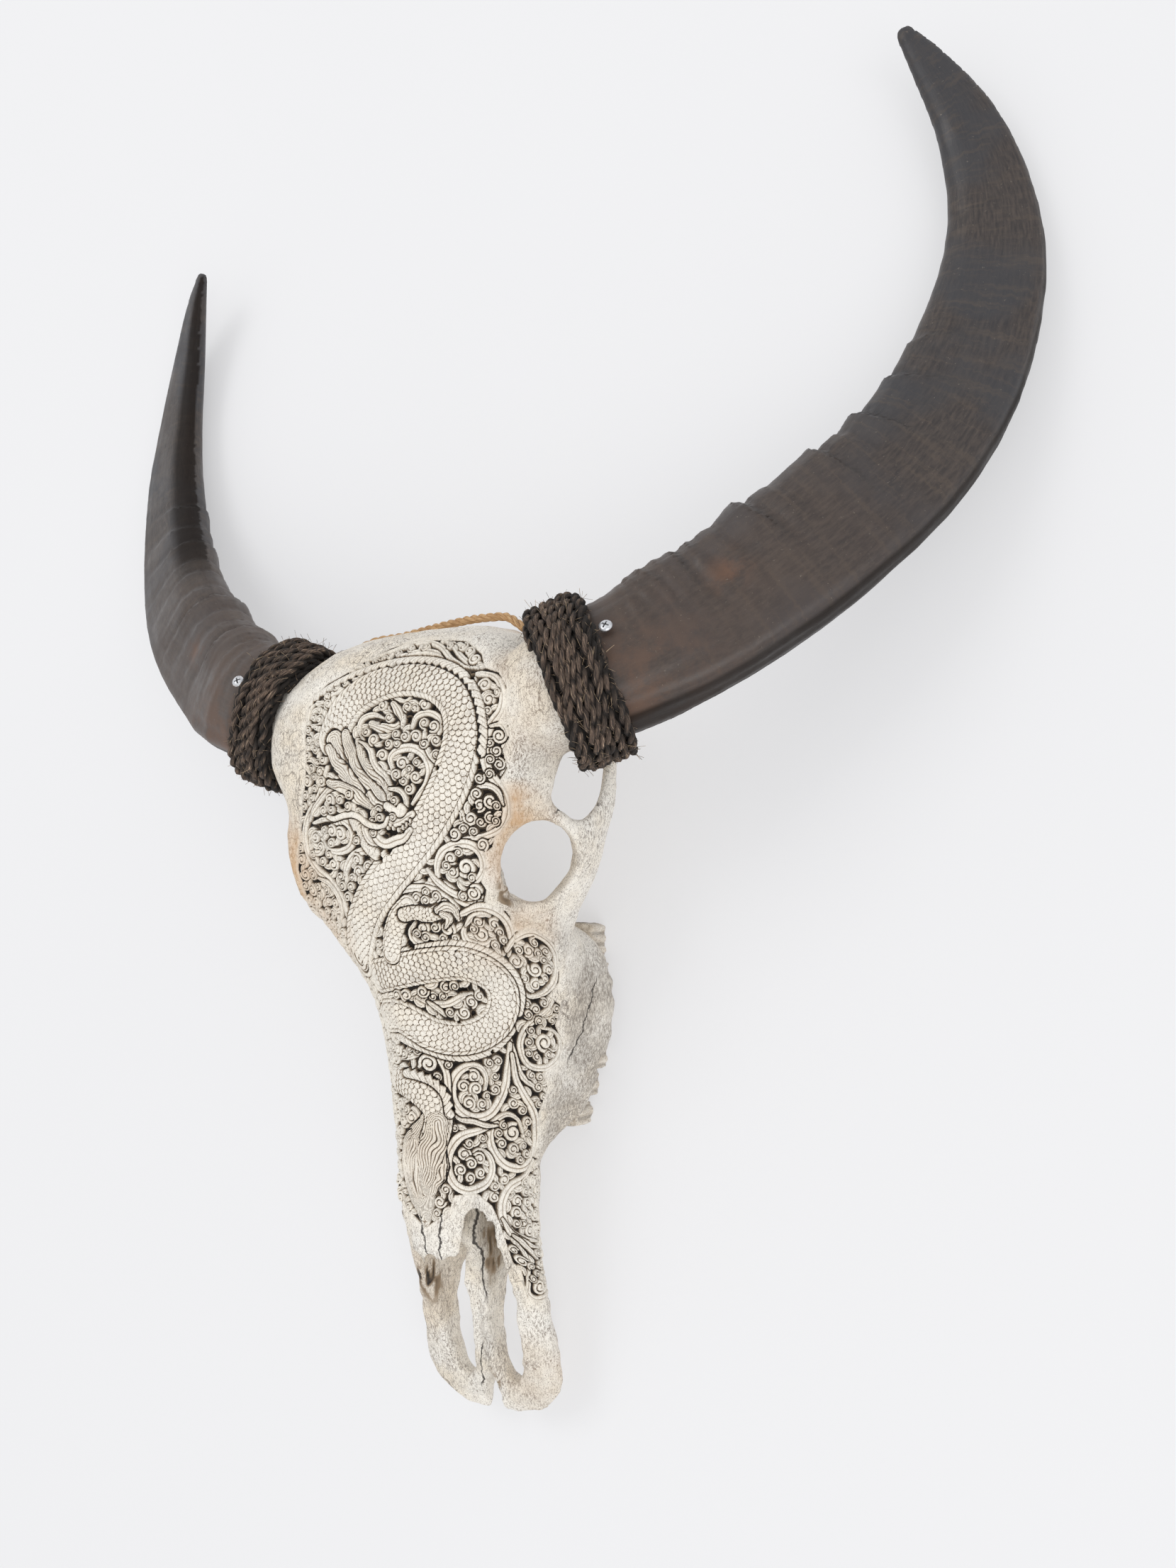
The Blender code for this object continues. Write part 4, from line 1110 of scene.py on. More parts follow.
CARVED_EDGE = {
    "brow": ((190, 900), (200, 800), (205, 700), (200, 640), (205, 560), (225, 480), (290, 415), (370, 370),
             (470, 308), (560, 265), (660, 236), (760, 232), (860, 236), (925, 290), (935, 345), (990, 368),
             (1022, 430), (1022, 510), (985, 585), (1030, 590), (1040, 640), (1015, 700), (1032, 770),
             (1005, 815), (1042, 880), (1048, 960), (1005, 1030), (978, 1045), (975, 1090), (935, 1110),
             (944, 1170), (920, 1235), (945, 1270), (935, 1318), (1040, 1365), (1062, 1430), (1062, 1500)),
    "cheek": ((1090, 210), (1180, 196), (1262, 256), (1294, 340), (1286, 430), (1240, 490), (1294, 530),
              (1270, 620), (1304, 700), (1276, 790), (1210, 830), (1236, 890), (1214, 970), (1196, 1010),
              (1196, 1180), (1190, 1300), (1195, 1500)),
    "nose": ((950, 560), (1006, 740), (1016, 850), (965, 936), (880, 905), (852, 760), (800, 715), (735, 500),
             (690, 400), (625, 345), (604, 330), (470, 345), (440, 430), (310, 520), (255, 470), (150, 350)),
}
edge = np.vstack([in_photo(view, CARVED_EDGE[view]) for view in CARVED_EDGE])
beyond_outline = (in_photo("cheek", ((100, 900), (100, 300))), in_photo("brow", ((250, 1440), (170, 1180))))
edge = np.vstack((edge, *beyond_outline))
carved = within(edge, seen_x, seen_y) & faces_camera
flipped = np.roll(carved[:, ::-1], round(3 / STEP), 1)
carved |= flipped & ~faces_camera & (grid_v < -196)[:, None] & (grid_v > -330)[:, None]
carved &= ~holed & inside_bone
to_carved = grown(carved, 10.0)
to_plain = grown(~carved, 6.0)

# Heights over the bone's own surface of the plain margin, the pierced places and the tops, and
# the width of the moat cut round each stroke.
PLAIN, FLOOR, TOP = -0.5, -4.6, 0.3
MOAT_WIDE, MOAT_DEEP = 0.85, -2.1
relief = np.where(carved, FLOOR, PLAIN)
ink_and_shade = np.where(carved, 1.0, 0.0)
done = ~carved


class Patch:
    """Part of the grid round a stroke, with each place's distance from it and way along it."""

    def __init__(self, line, reach):
        low, high = line.min(0) - reach, line.max(0) + reach
        self.columns = slice(*np.clip(np.searchsorted(grid_u, (low[0], high[0])), 0, len(grid_u)))
        self.rows = slice(*np.clip(np.searchsorted(grid_v, (low[1], high[1])), 0, len(grid_v)))
        u, v = np.meshgrid(grid_u[self.columns], grid_v[self.rows])
        self.away = np.full(u.shape, 1e6)
        self.along = np.zeros(u.shape)
        self.aside = np.zeros(u.shape)
        passed = 0.0
        for a, b in zip(line, line[1:]):
            step = b - a
            long = math.hypot(*step)
            if long < 1e-6:
                continue
            least, most = np.minimum(a, b) - reach, np.maximum(a, b) + reach
            near_rows = slice(*np.clip(np.searchsorted(v[:, 0], (least[1], most[1])), 0, v.shape[0]))
            near_columns = slice(*np.clip(np.searchsorted(u[0], (least[0], most[0])), 0, u.shape[1]))
            du, dv = u[near_rows, near_columns] - a[0], v[near_rows, near_columns] - a[1]
            if not du.size:
                passed += long
                continue
            t = np.clip((du * step[0] + dv * step[1]) / long ** 2, 0, 1)
            gap = np.hypot(du - t * step[0], dv - t * step[1])
            closer = gap < self.away[near_rows, near_columns]
            self.away[near_rows, near_columns][closer] = gap[closer]
            self.along[near_rows, near_columns][closer] = (passed + t * long)[closer]
            side = np.sign(du * step[1] - dv * step[0])
            self.aside[near_rows, near_columns][closer] = (gap * side)[closer]
            passed += long
        self.length = passed
        self.u, self.v = u, v

    def lay(self, inside, height, dark, gap):
        """Cuts a narrow moat round the stroke, then sets its height and its darkness: wax, and painted shade
        at scale edges.
        """
        part = (self.rows, self.columns)
        free = carved[part]
        moat = free & ~inside & (gap < MOAT_WIDE)
        relief[part] = np.where(moat, np.minimum(relief[part], MOAT_DEEP), relief[part])
        ink_and_shade[part] = np.where(moat, np.maximum(ink_and_shade[part], 0.9 - 0.25 * (gap > 0.55)), ink_and_shade[part])
        relief[part] = np.where(inside & free, height, relief[part])
        ink_and_shade[part] = np.where(inside & free, np.clip(dark, 0, 1), ink_and_shade[part])
        done[part] |= (inside | (gap < 0.35)) & free


# Bands and fins are drawn this much wider than the half widths given with their marks.
BAND_FULLER, FIN_FULLER = 1.36, 1.2


def stroke(view, points, spacing=1.0):
    line = curve_through(laid_out(view, points), 8)
    count = max(4, int(np.linalg.norm(np.diff(line, axis=0), axis=1).sum() / spacing))
    return evenly(line, count, 2)


def band(view, half, points, grooved=True, ends=(0.45, 0.3)):
    """A leaf-like band, most often with a groove along it, thinner towards its ends."""
    half *= BAND_FULLER
    patch = Patch(stroke(view, points), half + 1.5)
    share = patch.along / max(patch.length, 1e-6)
    taper = np.minimum(1, ends[0] + (1 - ends[0]) * share / 0.25)
    taper = taper * np.minimum(1, ends[1] + (1 - ends[1]) * (1 - share) / 0.3)
    width = half * taper
    across = np.clip(patch.away / width, 0, 1)
    groove = np.clip(1 - np.abs(patch.aside / width) / 0.22, 0, 1) * grooved
    height = TOP + 0.2 - 0.9 * across ** 4 - 1.1 * groove
    dark = 0.55 * groove ** 0.8 + 0.4 * np.clip((across - 0.88) / 0.12, 0, 1)
    patch.lay(patch.away < width, height, dark, patch.away - width)


def curl(centre, radius, number):
    """A small volute: one arm that winds in to a knob, with its tail standing out."""
    patch = Patch(np.array((centre, centre + (0.01, 0))), radius * 1.12 + 1.5)
    du, dv = patch.u - centre[0], patch.v - centre[1]
    away = np.hypot(du, dv)
    spin = 1 if number % 2 else -1
    turned = (np.arctan2(dv, du) * spin + number * 2.4) / (2 * np.pi) % 1.0
    pitch = 0.5 * radius
    outline = radius * 0.64 + pitch * turned
    layer = (outline - away) / pitch
    in_arm = layer % 1.0
    knob = away < radius * 0.2
    start = 1 - min(max(0.8 / pitch, 0.34), 0.5)
    groove = np.where(knob | (layer > 1.75), 0, np.clip((in_arm - start) / 0.14, 0, 1) * (layer > 0.3))
    ridge = np.sin(np.clip(in_arm / 0.8, 0, 1) * math.pi)
    height = TOP + 0.15 - 0.35 * (away / radius) ** 2 + 0.35 * ridge - 1.9 * groove
    patch.lay(layer > 0, height, 1.0 * groove + 0.35 * np.clip(1 - layer / 0.16, 0, 1), away - outline)


def leaf(spot, room, heading):
    """A small curved leaf with a vein, in whatever room is left."""
    turn = np.linspace(-0.95, 1.05, 7)
    way = heading + 0.5 * turn
    patch = Patch(spot + room * 1.7 * np.stack((np.cos(way) * turn, np.sin(way) * turn), 1), room + 0.6)
    share = np.clip(patch.along / max(patch.length, 1e-6) * 0.86 + 0.1, 0, 1)
    width = 0.66 * room * np.sin(share * math.pi) ** 0.6 + 0.01
    free = ~done[patch.rows, patch.columns]
    vein = np.clip(1 - np.abs(patch.aside) / 0.3, 0, 1)
    height = TOP - 0.1 - 0.8 * np.clip(patch.away / width, 0, 1) ** 3 - 0.9 * vein
    gap = np.where(free, patch.away - width, 9)
    patch.lay((gap < 0) & free, height, 0.8 * vein, gap)


def curls(view, rows):
    """Volutes at marks of (x, y, radius in the enlargement)."""
    scale = ENLARGED[view][2] * 2.25
    places = laid_out(view, [row[:2] for row in rows])
    for number, (place, row) in enumerate(zip(places, rows)):
        curl(place, max(2.9, row[2] / scale * 1.32), number)


def scales_on(patch, pitch, wide):
    """Rows of round overlapping scales along a stroke; gives their height and dark edges, with painted shade
    at each free edge.
    """
    row = patch.along / pitch
    height = np.full(row.shape, -0.9)
    dark = np.full(row.shape, 0.8)
    taken = np.zeros(row.shape, bool)
    radius = wide * 0.56
    for k in (-2, -1, 0, 1):
        number = np.floor(row) + k
        shift = (number % 2) * 0.5
        column = np.round(patch.aside / wide - shift) + shift
        dv = patch.aside - column * wide
        du = (row - number) * pitch
        away = np.where(du > 0, np.hypot(du * 0.95, dv), np.abs(dv) * 1.05)
        inside = (away < radius) & (du > -pitch) & ~taken
        rim = np.clip((away / radius - 0.72) / 0.22, 0, 1)
        tile = 0.2 + 0.45 * np.clip(du / radius, -0.6, 0.8) - 1.1 * rim ** 2
        height = np.where(inside, tile, height)
        # Painted shade under each scale's free edge, lighter towards its attached side.
        dark = np.where(inside, 0.95 * rim ** 1.2 * (0.42 + 0.58 * np.clip(du / radius + 0.45, 0, 1)), dark)
        taken |= inside
    return height, dark


def serpent(view, half, points, rim=2.6, sides=(1, 1), scale=(3.3, 3.9)):
    """A stretch of the dragon's body: scales between two notched rims, round across."""
    patch = Patch(stroke(view, points), half + 3)
    across = patch.away / half
    height, dark = scales_on(patch, *scale)
    height = height + 1.4 * (1 - np.clip(across, 0, 1) ** 2.4) - 0.7
    for side, kept in zip((1, -1), sides):
        edge_place = patch.aside * side - (half - rim)
        on_rim = (edge_place > 0) & bool(kept)
        tooth = (patch.along - edge_place * 1.2) / 4.4 % 1.0
        notch = np.clip(1 - np.abs((tooth + 0.5) % 1 - 0.5) / 0.13, 0, 1)
        seam = np.clip(1 - edge_place / 0.55, 0, 1)
        swell = np.sin(np.clip(edge_place / rim, 0, 1) * math.pi)
        lip = 0.5 * swell + 0.35 * tooth - 1.0 * notch - 1.3 * seam
        height = np.where(on_rim, lip - 0.3, height)
        dark = np.where(on_rim, np.maximum(0.8 * notch, 0.85 * seam), dark)
    patch.lay(patch.away < half, np.maximum(height, -2.4), dark, patch.away - half)


def frill(view, half, points, side=1, pitch=5.2):
    """Flame-like fins along an edge of the body, each leaning back."""
    half *= FIN_FULLER
    patch = Patch(stroke(view, points), half + 1.5)
    lean = (patch.along + patch.aside * side * 0.9) / pitch % 1.0
    reach = half * (0.35 + 0.65 * lean)
    inside = (patch.away < half) & (patch.aside * side < reach) & (patch.aside * side > -half)
    cut = np.clip(1 - lean / 0.16, 0, 1)
    vein = np.clip(1 - np.abs(lean - 0.55) / 0.1, 0, 1)
    height = 0.2 - 1.6 * cut - 0.5 * vein - 0.8 * (patch.away / half) ** 2
    patch.lay(inside, height, 0.9 * cut + 0.45 * vein, patch.away - half)


def hair(view, half, points, strands, seed, ends=(0.7, 0.3), wave=0.8, apart=0.0):
    """Wavy locks side by side along a stroke; apart is past the moat's width to leave the moat out."""
    patch = Patch(stroke(view, points), half + 1.5)
    share = patch.along / max(patch.length, 1e-6)
    width = half * np.minimum(1, ends[0] + (1 - ends[0]) * share / 0.3)
    width = width * np.minimum(1, ends[1] + (1 - ends[1]) * (1 - share) / 0.5)
    drift = noise_at(np.stack((patch.along.ravel() / 9, patch.aside.ravel() / 6), 1), 1.0, seed)
    drift = drift.reshape(share.shape)
    full = np.maximum(width, 0.5)
    lock = patch.aside / full * strands / 2 + wave * (drift - 0.5) * 3 + 0.35 * np.sin(patch.along / 4.2)
    ridge = np.abs((lock % 1.0) - 0.5) * 2
    lump = np.sin(np.floor(lock) * 12.9) * 0.25
    height = 0.1 + lump - 1.5 * ridge ** 2.2 - 0.9 * (patch.away / full) ** 3
    dark = 0.8 * np.clip((ridge - 0.6) / 0.35, 0, 1)
    patch.lay(patch.away < width * (1 - 0.12 * ridge), height, dark, patch.away - width + apart)


def pierced(view, rows):
    """Places where the carver cut right through: pits sunk deeper and painted black, as shade."""
    for place, (_, _, size) in zip(laid_out(view, [row[:2] for row in rows]), rows):
        radius = size / ENLARGED[view][2] / 2.3
        patch = Patch(np.array((place, place + (0.01, 0))), radius * 1.4 + 1)
        part = (patch.rows, patch.columns)
        ragged = noise_at(np.stack((patch.u.ravel(), patch.v.ravel()), 1), 2.2, 7).reshape(patch.u.shape)
        open_hole = (patch.away < radius * (0.8 + 0.5 * ragged)) & carved[part]
        relief[part] = np.where(open_hole, FLOOR - 0.9, relief[part])
        # The pit is painted black: painted shade of the opening.
        ink_and_shade[part] = np.where(open_hole, 1.0, ink_and_shade[part])
        done[part] |= open_hole


# Borders and large leaf scrolls, as half width in millimetres and marks along each.
BROW_BANDS = (
    (1.5, ((235, 650), (214, 560), (240, 490), (300, 430), (370, 398), (440, 388), (505, 358))),
    (1.5, ((360, 400), (430, 392), (480, 372), (540, 335), (610, 302), (690, 285), (760, 300), (800, 340),
           (868, 368))),
    (1.3, ((470, 318), (540, 292), (620, 262), (700, 248), (760, 266), (800, 312), (850, 340), (912, 352))),
    (1.4, ((268, 505), (300, 470), (345, 445), (400, 420), (452, 400))),
    (1.2, ((780, 245), (812, 262), (840, 300), (880, 335), (925, 330))),
    (2.2, ((890, 384), (930, 375), (985, 395), (1010, 450), (1005, 520), (965, 580), (943, 640), (936, 700),
           (945, 760), (978, 812), (1020, 870), (1034, 940), (1008, 1008), (945, 1042), (860, 1058),
           (795, 1080))),
    (1.3, ((900, 395), (895, 440), (915, 500), (925, 560), (950, 560))),
    (1.5, ((962, 592), (1008, 588), (1030, 632), (1020, 680), (992, 716), (1020, 752), (1006, 795))),
    (1.3, ((900, 850), (948, 836), (995, 862), (1018, 915))),
    (2.0, ((748, 1232), (742, 1160), (766, 1108), (822, 1078), (880, 1082), (924, 1122), (934, 1180),
           (905, 1228), (862, 1240), (832, 1216))),
    (2.2, ((640, 1248), (715, 1232), (790, 1262), (850, 1312), (930, 1332), (1000, 1352), (1042, 1400),
           (1050, 1470), (1040, 1540))),
    (1.5, ((702, 1182), (745, 1232), (800, 1276), (862, 1300), (930, 1300))),
    (2.0, ((560, 770), (550, 722), (582, 690), (640, 682), (690, 712), (712, 770), (700, 830), (668, 872),
           (640, 912))),
    (1.5, ((640, 600), (660, 552), (708, 536), (750, 560), (760, 602), (738, 640))),
    (1.2, ((690, 600), (694, 660), (714, 710), (742, 752))),
    (1.3, ((440, 650), (424, 600), (440, 560), (485, 545), (528, 560))),
    (1.2, ((450, 470), (500, 482), (560, 474), (610, 488), (640, 470))),
    (2.0, ((292, 760), (276, 830), (250, 900), (216, 960), (201, 1030), (214, 1110), (254, 1180), (308, 1230),
           (350, 1292), (374, 1360), (382, 1440))),
    (1.4, ((330, 800), (300, 850), (268, 890), (236, 940), (222, 985))),
    (1.8, ((238, 990), (300, 970), (366, 986), (398, 1030), (388, 1085), (340, 1108), (292, 1092),
           (270, 1052))),
    (1.8, ((382, 1262), (368, 1190), (396, 1128), (448, 1108), (488, 1148), (480, 1198), (444, 1240),
           (412, 1290))),
    (1.3, ((252, 1215), (300, 1240), (336, 1290), (352, 1350), (350, 1400))),
    (1.3, ((604, 1290), (660, 1262), (720, 1262), (790, 1300), (830, 1340))),
)
CHEEK_BANDS = (
    (1.8, ((560, 34), (620, 12), (700, 16), (770, 50), (824, 96), (846, 150))),
    (1.8, ((640, 166), (624, 206), (650, 250), (712, 268), (780, 256), (836, 262))),
    (2.2, ((845, 128), (930, 100), (1010, 120), (1062, 178), (1072, 250), (1036, 306))),
    (1.6, ((868, 178), (858, 214), (884, 250), (948, 268), (1000, 232))),
    (1.3, ((868, 178), (900, 136), (950, 130), (990, 146))),
    (1.9, ((1050, 290), (1092, 234), (1160, 208), (1228, 242), (1268, 310), (1268, 400), (1228, 468),
           (1160, 494), (1122, 470))),
    (1.6, ((1262, 500), (1232, 548), (1180, 590), (1130, 640), (1112, 712), (1148, 790), (1220, 808),
           (1276, 762), (1288, 692), (1258, 642), (1206, 632))),
    (1.5, ((1062, 660), (1086, 750), (1112, 830), (1160, 878), (1212, 900))),
    (2.2, ((1066, 700), (1056, 800), (1042, 900), (990, 998), (920, 1028), (850, 1000), (810, 930),
           (820, 850), (870, 802), (932, 802), (962, 850), (950, 922))),
    (1.6, ((662, 800), (690, 756), (742, 760), (780, 820), (792, 900), (806, 980))),
    (1.3, ((584, 764), (650, 748), (706, 706))),
    (2.2, ((1074, 745), (1092, 850), (1132, 930), (1172, 1000), (1182, 1100), (1162, 1200), (1118, 1248),
           (1050, 1238), (998, 1180), (980, 1110), (1000, 1042), (1052, 1012), (1102, 1036), (1122, 1092))),
    (2.2, ((1010, 1050), (930, 1082), (850, 1110), (800, 1170), (788, 1250), (820, 1322), (890, 1350),
           (960, 1320), (990, 1250), (972, 1190), (930, 1168), (898, 1186))),
    (2.0, ((1166, 1210), (1130, 1288), (1070, 1330), (1034, 1400), (1040, 1480), (1080, 1540), (1140, 1562),
           (1186, 1568))),
    (1.2, ((1012, 1062), (960, 1060), (905, 1042), (848, 1036), (812, 1010))),
)
NOSE_BANDS = (
    (1.5, ((744, 470), (790, 548), (862, 596), (950, 632))),
    (1.3, ((800, 560), (872, 620), (940, 694))),
    (1.1, ((790, 580), (850, 640), (892, 716))),
    (1.8, ((890, 760), (884, 850), (920, 912), (980, 900), (1006, 840), (990, 782), (948, 760))),
)
for view, bands in (("brow", BROW_BANDS), ("cheek", CHEEK_BANDS), ("nose", NOSE_BANDS)):
    for half, points in bands:
        band(view, half, points)

curls("brow", (
    (490, 332, 16), (530, 316, 12), (585, 294, 12), (640, 274, 12), (700, 268, 12), (330, 432, 14),
    (370, 414, 12), (292, 472, 14), (266, 528, 16), (238, 560, 12), (250, 600, 14), (216, 610, 12),
    (218, 650, 12), (244, 690, 12), (900, 316, 20), (850, 268, 16), (800, 262, 10), (940, 422, 22),
    (956, 482, 20), (950, 530, 16), (988, 452, 12), (998, 632, 22), (988, 694, 18), (1000, 750, 18),
    (962, 660, 10), (962, 730, 12), (960, 790, 14), (906, 872, 18), (918, 918, 20), (962, 902, 22),
    (880, 972, 22), (922, 986, 16), (962, 970, 18), (990, 920, 14), (850, 1016, 16), (895, 1026, 12),
    (985, 980, 14), (800, 1136, 20), (862, 1172, 32), (806, 1192, 18), (782, 1164, 12), (830, 1112, 14),
    (886, 1216, 12), (906, 1272, 22), (930, 1080, 20), (700, 1274, 14), (742, 1288, 14), (660, 1296, 14),
    (780, 1320, 16), (520, 508, 18), (562, 514, 18), (692, 504, 20), (650, 520, 12), (690, 580, 18),
    (730, 592, 20), (738, 650, 18), (690, 664, 16), (612, 636, 18), (580, 664, 14), (740, 710, 16),
    (600, 745, 22), (576, 792, 18), (628, 768, 14), (655, 800, 20), (606, 816, 14), (628, 852, 18),
    (660, 740, 14), (270, 822, 18), (242, 852, 14), (240, 802, 12), (228, 764, 12), (254, 742, 12),
    (212, 712, 10), (230, 886, 12), (336, 992, 18), (346, 1036, 22), (310, 1074, 16), (282, 1020, 14),
    (266, 1086, 16), (236, 1120, 14), (276, 1146, 16), (320, 1160, 20), (300, 1120, 10), (416, 1142, 20),
    (460, 1170, 18), (426, 1190, 20), (396, 1214, 12), (392, 1252, 16), (440, 1216, 12), (348, 1210, 12),
    (256, 1250, 14), (290, 1266, 14), (300, 1312, 18), (322, 1362, 16), (340, 1412, 14), (296, 1352, 10),
    (262, 1290, 12)))
curls("cheek", (
    (650, 52, 18), (690, 64, 16), (735, 46, 18), (778, 76, 12), (612, 66, 12), (902, 34, 22), (856, 46, 16),
    (680, 186, 24), (690, 228, 18), (652, 212, 10), (790, 192, 26), (770, 232, 12), (820, 232, 12),
    (926, 160, 18), (940, 214, 26), (902, 192, 12), (998, 172, 20), (1022, 208, 16), (1000, 264, 16),
    (1040, 240, 10), (1146, 286, 24), (1090, 332, 24), (1176, 372, 26), (1130, 412, 16), (1180, 440, 20),
    (1222, 412, 14), (1216, 332, 16), (1192, 300, 12), (1140, 520, 14), (1218, 692, 36), (1160, 640, 16),
    (1150, 692, 18), (1186, 756, 16), (1150, 742, 12), (1272, 546, 16), (1196, 596, 16), (1250, 596, 12),
    (1238, 744, 12), (1190, 890, 18), (1214, 930, 14), (1196, 966, 14), (905, 842, 24), (860, 886, 22),
    (916, 896, 24), (884, 960, 24), (944, 964, 20), (1000, 900, 20), (1000, 842, 16), (976, 782, 18),
    (790, 790, 14), (964, 930, 8), (702, 788, 32), (740, 846, 16), (620, 720, 14), (592, 742, 12),
    (652, 728, 12), (630, 1022, 26), (604, 990, 12), (1076, 1092, 34), (1030, 1140, 20), (1080, 1166, 22),
    (1126, 1150, 14), (1144, 1096, 12), (1080, 960, 20), (1082, 902, 16), (1120, 992, 18), (1040, 1060, 12),
    (930, 1206, 22), (862, 1190, 24), (848, 1256, 22), (890, 1292, 20), (936, 1270, 20), (886, 1140, 18),
    (944, 1114, 16), (822, 1070, 14), (1040, 1300, 20), (1100, 1396, 22), (1098, 1446, 22),
    (1142, 1402, 20), (1136, 1352, 16), (1126, 1492, 16), (1152, 1450, 12), (1134, 1312, 8)))
curls("nose", ((850, 706, 28), (906, 732, 18), (936, 772, 12), (950, 842, 34), (912, 800, 10)))

# The dragon, from its tail's tuft up to its head, each stretch over what it passes.
hair("cheek", 20, ((712, 1060), (672, 1180), (654, 1270), (664, 1360), (678, 1430), (686, 1500)), 20, 3,
     ends=(0.45, 0.14))
serpent("cheek", 9.2, ((560, 850), (620, 888), (690, 936), (740, 1000), (744, 1070), (716, 1150)),
        sides=(0, 1), rim=2.0)
hair("cheek", 9.4, ((742, 1050), (728, 1120), (706, 1200), (690, 1290), (684, 1370)), 9, 12,
     ends=(0.8, 0.2), apart=1.0)
hair("cheek", 5, ((640, 1120), (622, 1180), (616, 1260), (628, 1330)), 6, 5, apart=1.0)
frill("cheek", 2.6, ((596, 826), (660, 842), (730, 872), (782, 930), (798, 1010)), side=-1)
frill("cheek", 2.8, ((552, 650), (620, 690), (700, 722), (800, 752), (900, 750), (1000, 712), (1070, 640)),
      side=-1)
frill("cheek", 2.8, ((500, 320), (600, 298), (700, 278), (800, 268), (900, 278), (990, 316), (1070, 380),
                     (1112, 480), (1104, 560)), side=1)
LOWER_COIL = (
    (478, 400), (540, 388), (620, 370), (720, 354), (850, 348), (960, 384), (1026, 450), (1036, 530),
    (1000, 608), (920, 662), (820, 676), (720, 654), (640, 612), (570, 578), (520, 574))
serpent("cheek", 10.6, LOWER_COIL, rim=2.4)
serpent("cheek", 6.6, ((610, 90), (566, 140), (540, 220), (536, 300)), sides=(1, 0), rim=1.6,
        scale=(3.0, 3.4))
serpent("cheek", 4.4, ((590, 130), (640, 120), (700, 132), (760, 112)), sides=(0, 0), rim=1.0,
        scale=(2.6, 2.8))
hair("cheek", 3.4, ((740, 112), (780, 96), (816, 110), (834, 156)), 4, 9)
hair("cheek", 2.6, ((760, 128), (790, 150), (776, 190)), 3, 10)
pierced("cheek", ((622, 262, 20), (618, 800, 14), (612, 962, 10), (622, 1084, 9), (990, 736, 10),
                  (860, 470, 20), (910, 570, 14), (780, 540, 16), (1248, 712, 10), (840, 606, 8),
                  (820, 990, 8)))
band("cheek", 1.6, ((652, 492), (720, 520), (790, 524), (850, 492), (905, 478)))
band("cheek", 1.2, ((700, 512), (750, 548), (780, 580)))
curls("cheek", ((725, 490, 16), (772, 490, 15), (894, 514, 22), (802, 560, 16), (862, 562, 22)))
UPPER_COIL = (
    (318, 640), (345, 560), (400, 486), (470, 436), (560, 402), (650, 388), (740, 404), (806, 452),
    (840, 520), (848, 600), (838, 680), (814, 770), (780, 860), (734, 950), (676, 1040), (600, 1140),
    (530, 1225), (474, 1310), (440, 1400), (426, 1480), (430, 1540))
serpent("brow", 13, UPPER_COIL, rim=3.6, scale=(3.7, 4.3))
frill("brow", 2.4, ((150, 600), (250, 470), (400, 380), (560, 330), (720, 322), (840, 372), (905, 470),
                    (930, 600), (924, 700)), side=1, pitch=6)
# Its neck, mane and head.
hair("brow", 9, ((318, 650), (350, 720), (420, 800), (500, 880), (540, 910)), 8, 21, ends=(0.8, 0.6))
hair("brow", 3.4, ((470, 580), (520, 600), (570, 590), (610, 560)), 3, 25)
hair("brow", 3.0, ((560, 500), (600, 560), (596, 600)), 3, 26)
pierced("brow", ((722, 515, 13), (622, 562, 13), (742, 764, 9), (886, 386, 14), (566, 344, 14),
                 (914, 756, 11), (894, 922, 9), (694, 1222, 12), (508, 574, 9), (520, 660, 9),
                 (880, 930, 8), (330, 930, 8), (256, 1000, 8)))
hair("head", 5.5, ((300, 620), (200, 500), (100, 380), (10, 260), (-60, 120)), 5, 31, ends=(0.6, 0.6))
hair("head", 4.5, ((400, 760), (280, 680), (160, 610), (40, 540), (-60, 500)), 4, 32, ends=(0.5, 0.6))
hair("head", 5.2, ((590, 740), (500, 640), (400, 520), (300, 380), (220, 250), (150, 100), (120, -40)), 5,
     33, ends=(0.5, 0.7))
hair("head", 3.4, ((610, 700), (600, 600), (530, 490), (430, 400), (340, 300), (290, 170), (260, 40)), 4,
     34, ends=(0.5, 0.7))
band("head", 1.5, ((630, 540), (570, 430), (480, 350), (430, 250), (405, 150), (340, 80), (280, 40)))
frill("head", 3.4, ((215, 900), (260, 1010), (320, 1130), (390, 1230), (450, 1290)), side=-1, pitch=2.3)
pierced("head", ((600, 1250, 52), (510, 1350, 40), (720, 540, 40), (240, 1060, 24), (70, 770, 24),
                 (830, 660, 24)))
band("head", 1.5, ((320, 900), (345, 1040), (400, 1150), (480, 1190), (540, 1210)))
band("head", 2.3, ((440, 1000), (470, 1110), (570, 1180), (690, 1140), (770, 1120), (850, 1030)),
     ends=(0.8, 0.6))
pierced("head", ((570, 1040, 32), (610, 1050, 40), (660, 1050, 40), (700, 1040, 30), (760, 1040, 28)))
band("head", 1.9, ((590, 940), (660, 950), (740, 930), (800, 890), (865, 850)), ends=(0.8, 0.8))
band("head", 1.2, ((620, 570), (700, 580), (760, 620), (795, 690), (790, 770)), ends=(0.7, 0.8))
band("head", 1.5, ((390, 610), (440, 700), (500, 750), (570, 760), (620, 740)), ends=(0.6, 0.8))
band("head", 2.0, ((585, 760), (650, 800), (730, 840), (765, 800), (740, 775)), grooved=False,
     ends=(0.9, 0.9))
curls("head", ((495, 800, 34), (655, 885, 30), (665, 700, 34), (430, 920, 32), (250, 1140, 40),
               (170, 640, 44), (440, 1060, 26)))
for x, y in ((600, 1004), (655, 1010), (712, 1028), (765, 1000), (806, 965), (845, 930)):
    band("head", 0.5, ((x, y - 26), (x, y), (x + 2, y + 26)), grooved=False)
WHISKER = ((-60, 880), (0, 905), (100, 870), (200, 852), (290, 890), (370, 960), (470, 990), (560, 970),
           (600, 890))
band("head", 1.45, WHISKER, grooved=False, ends=(0.8, 0.6))

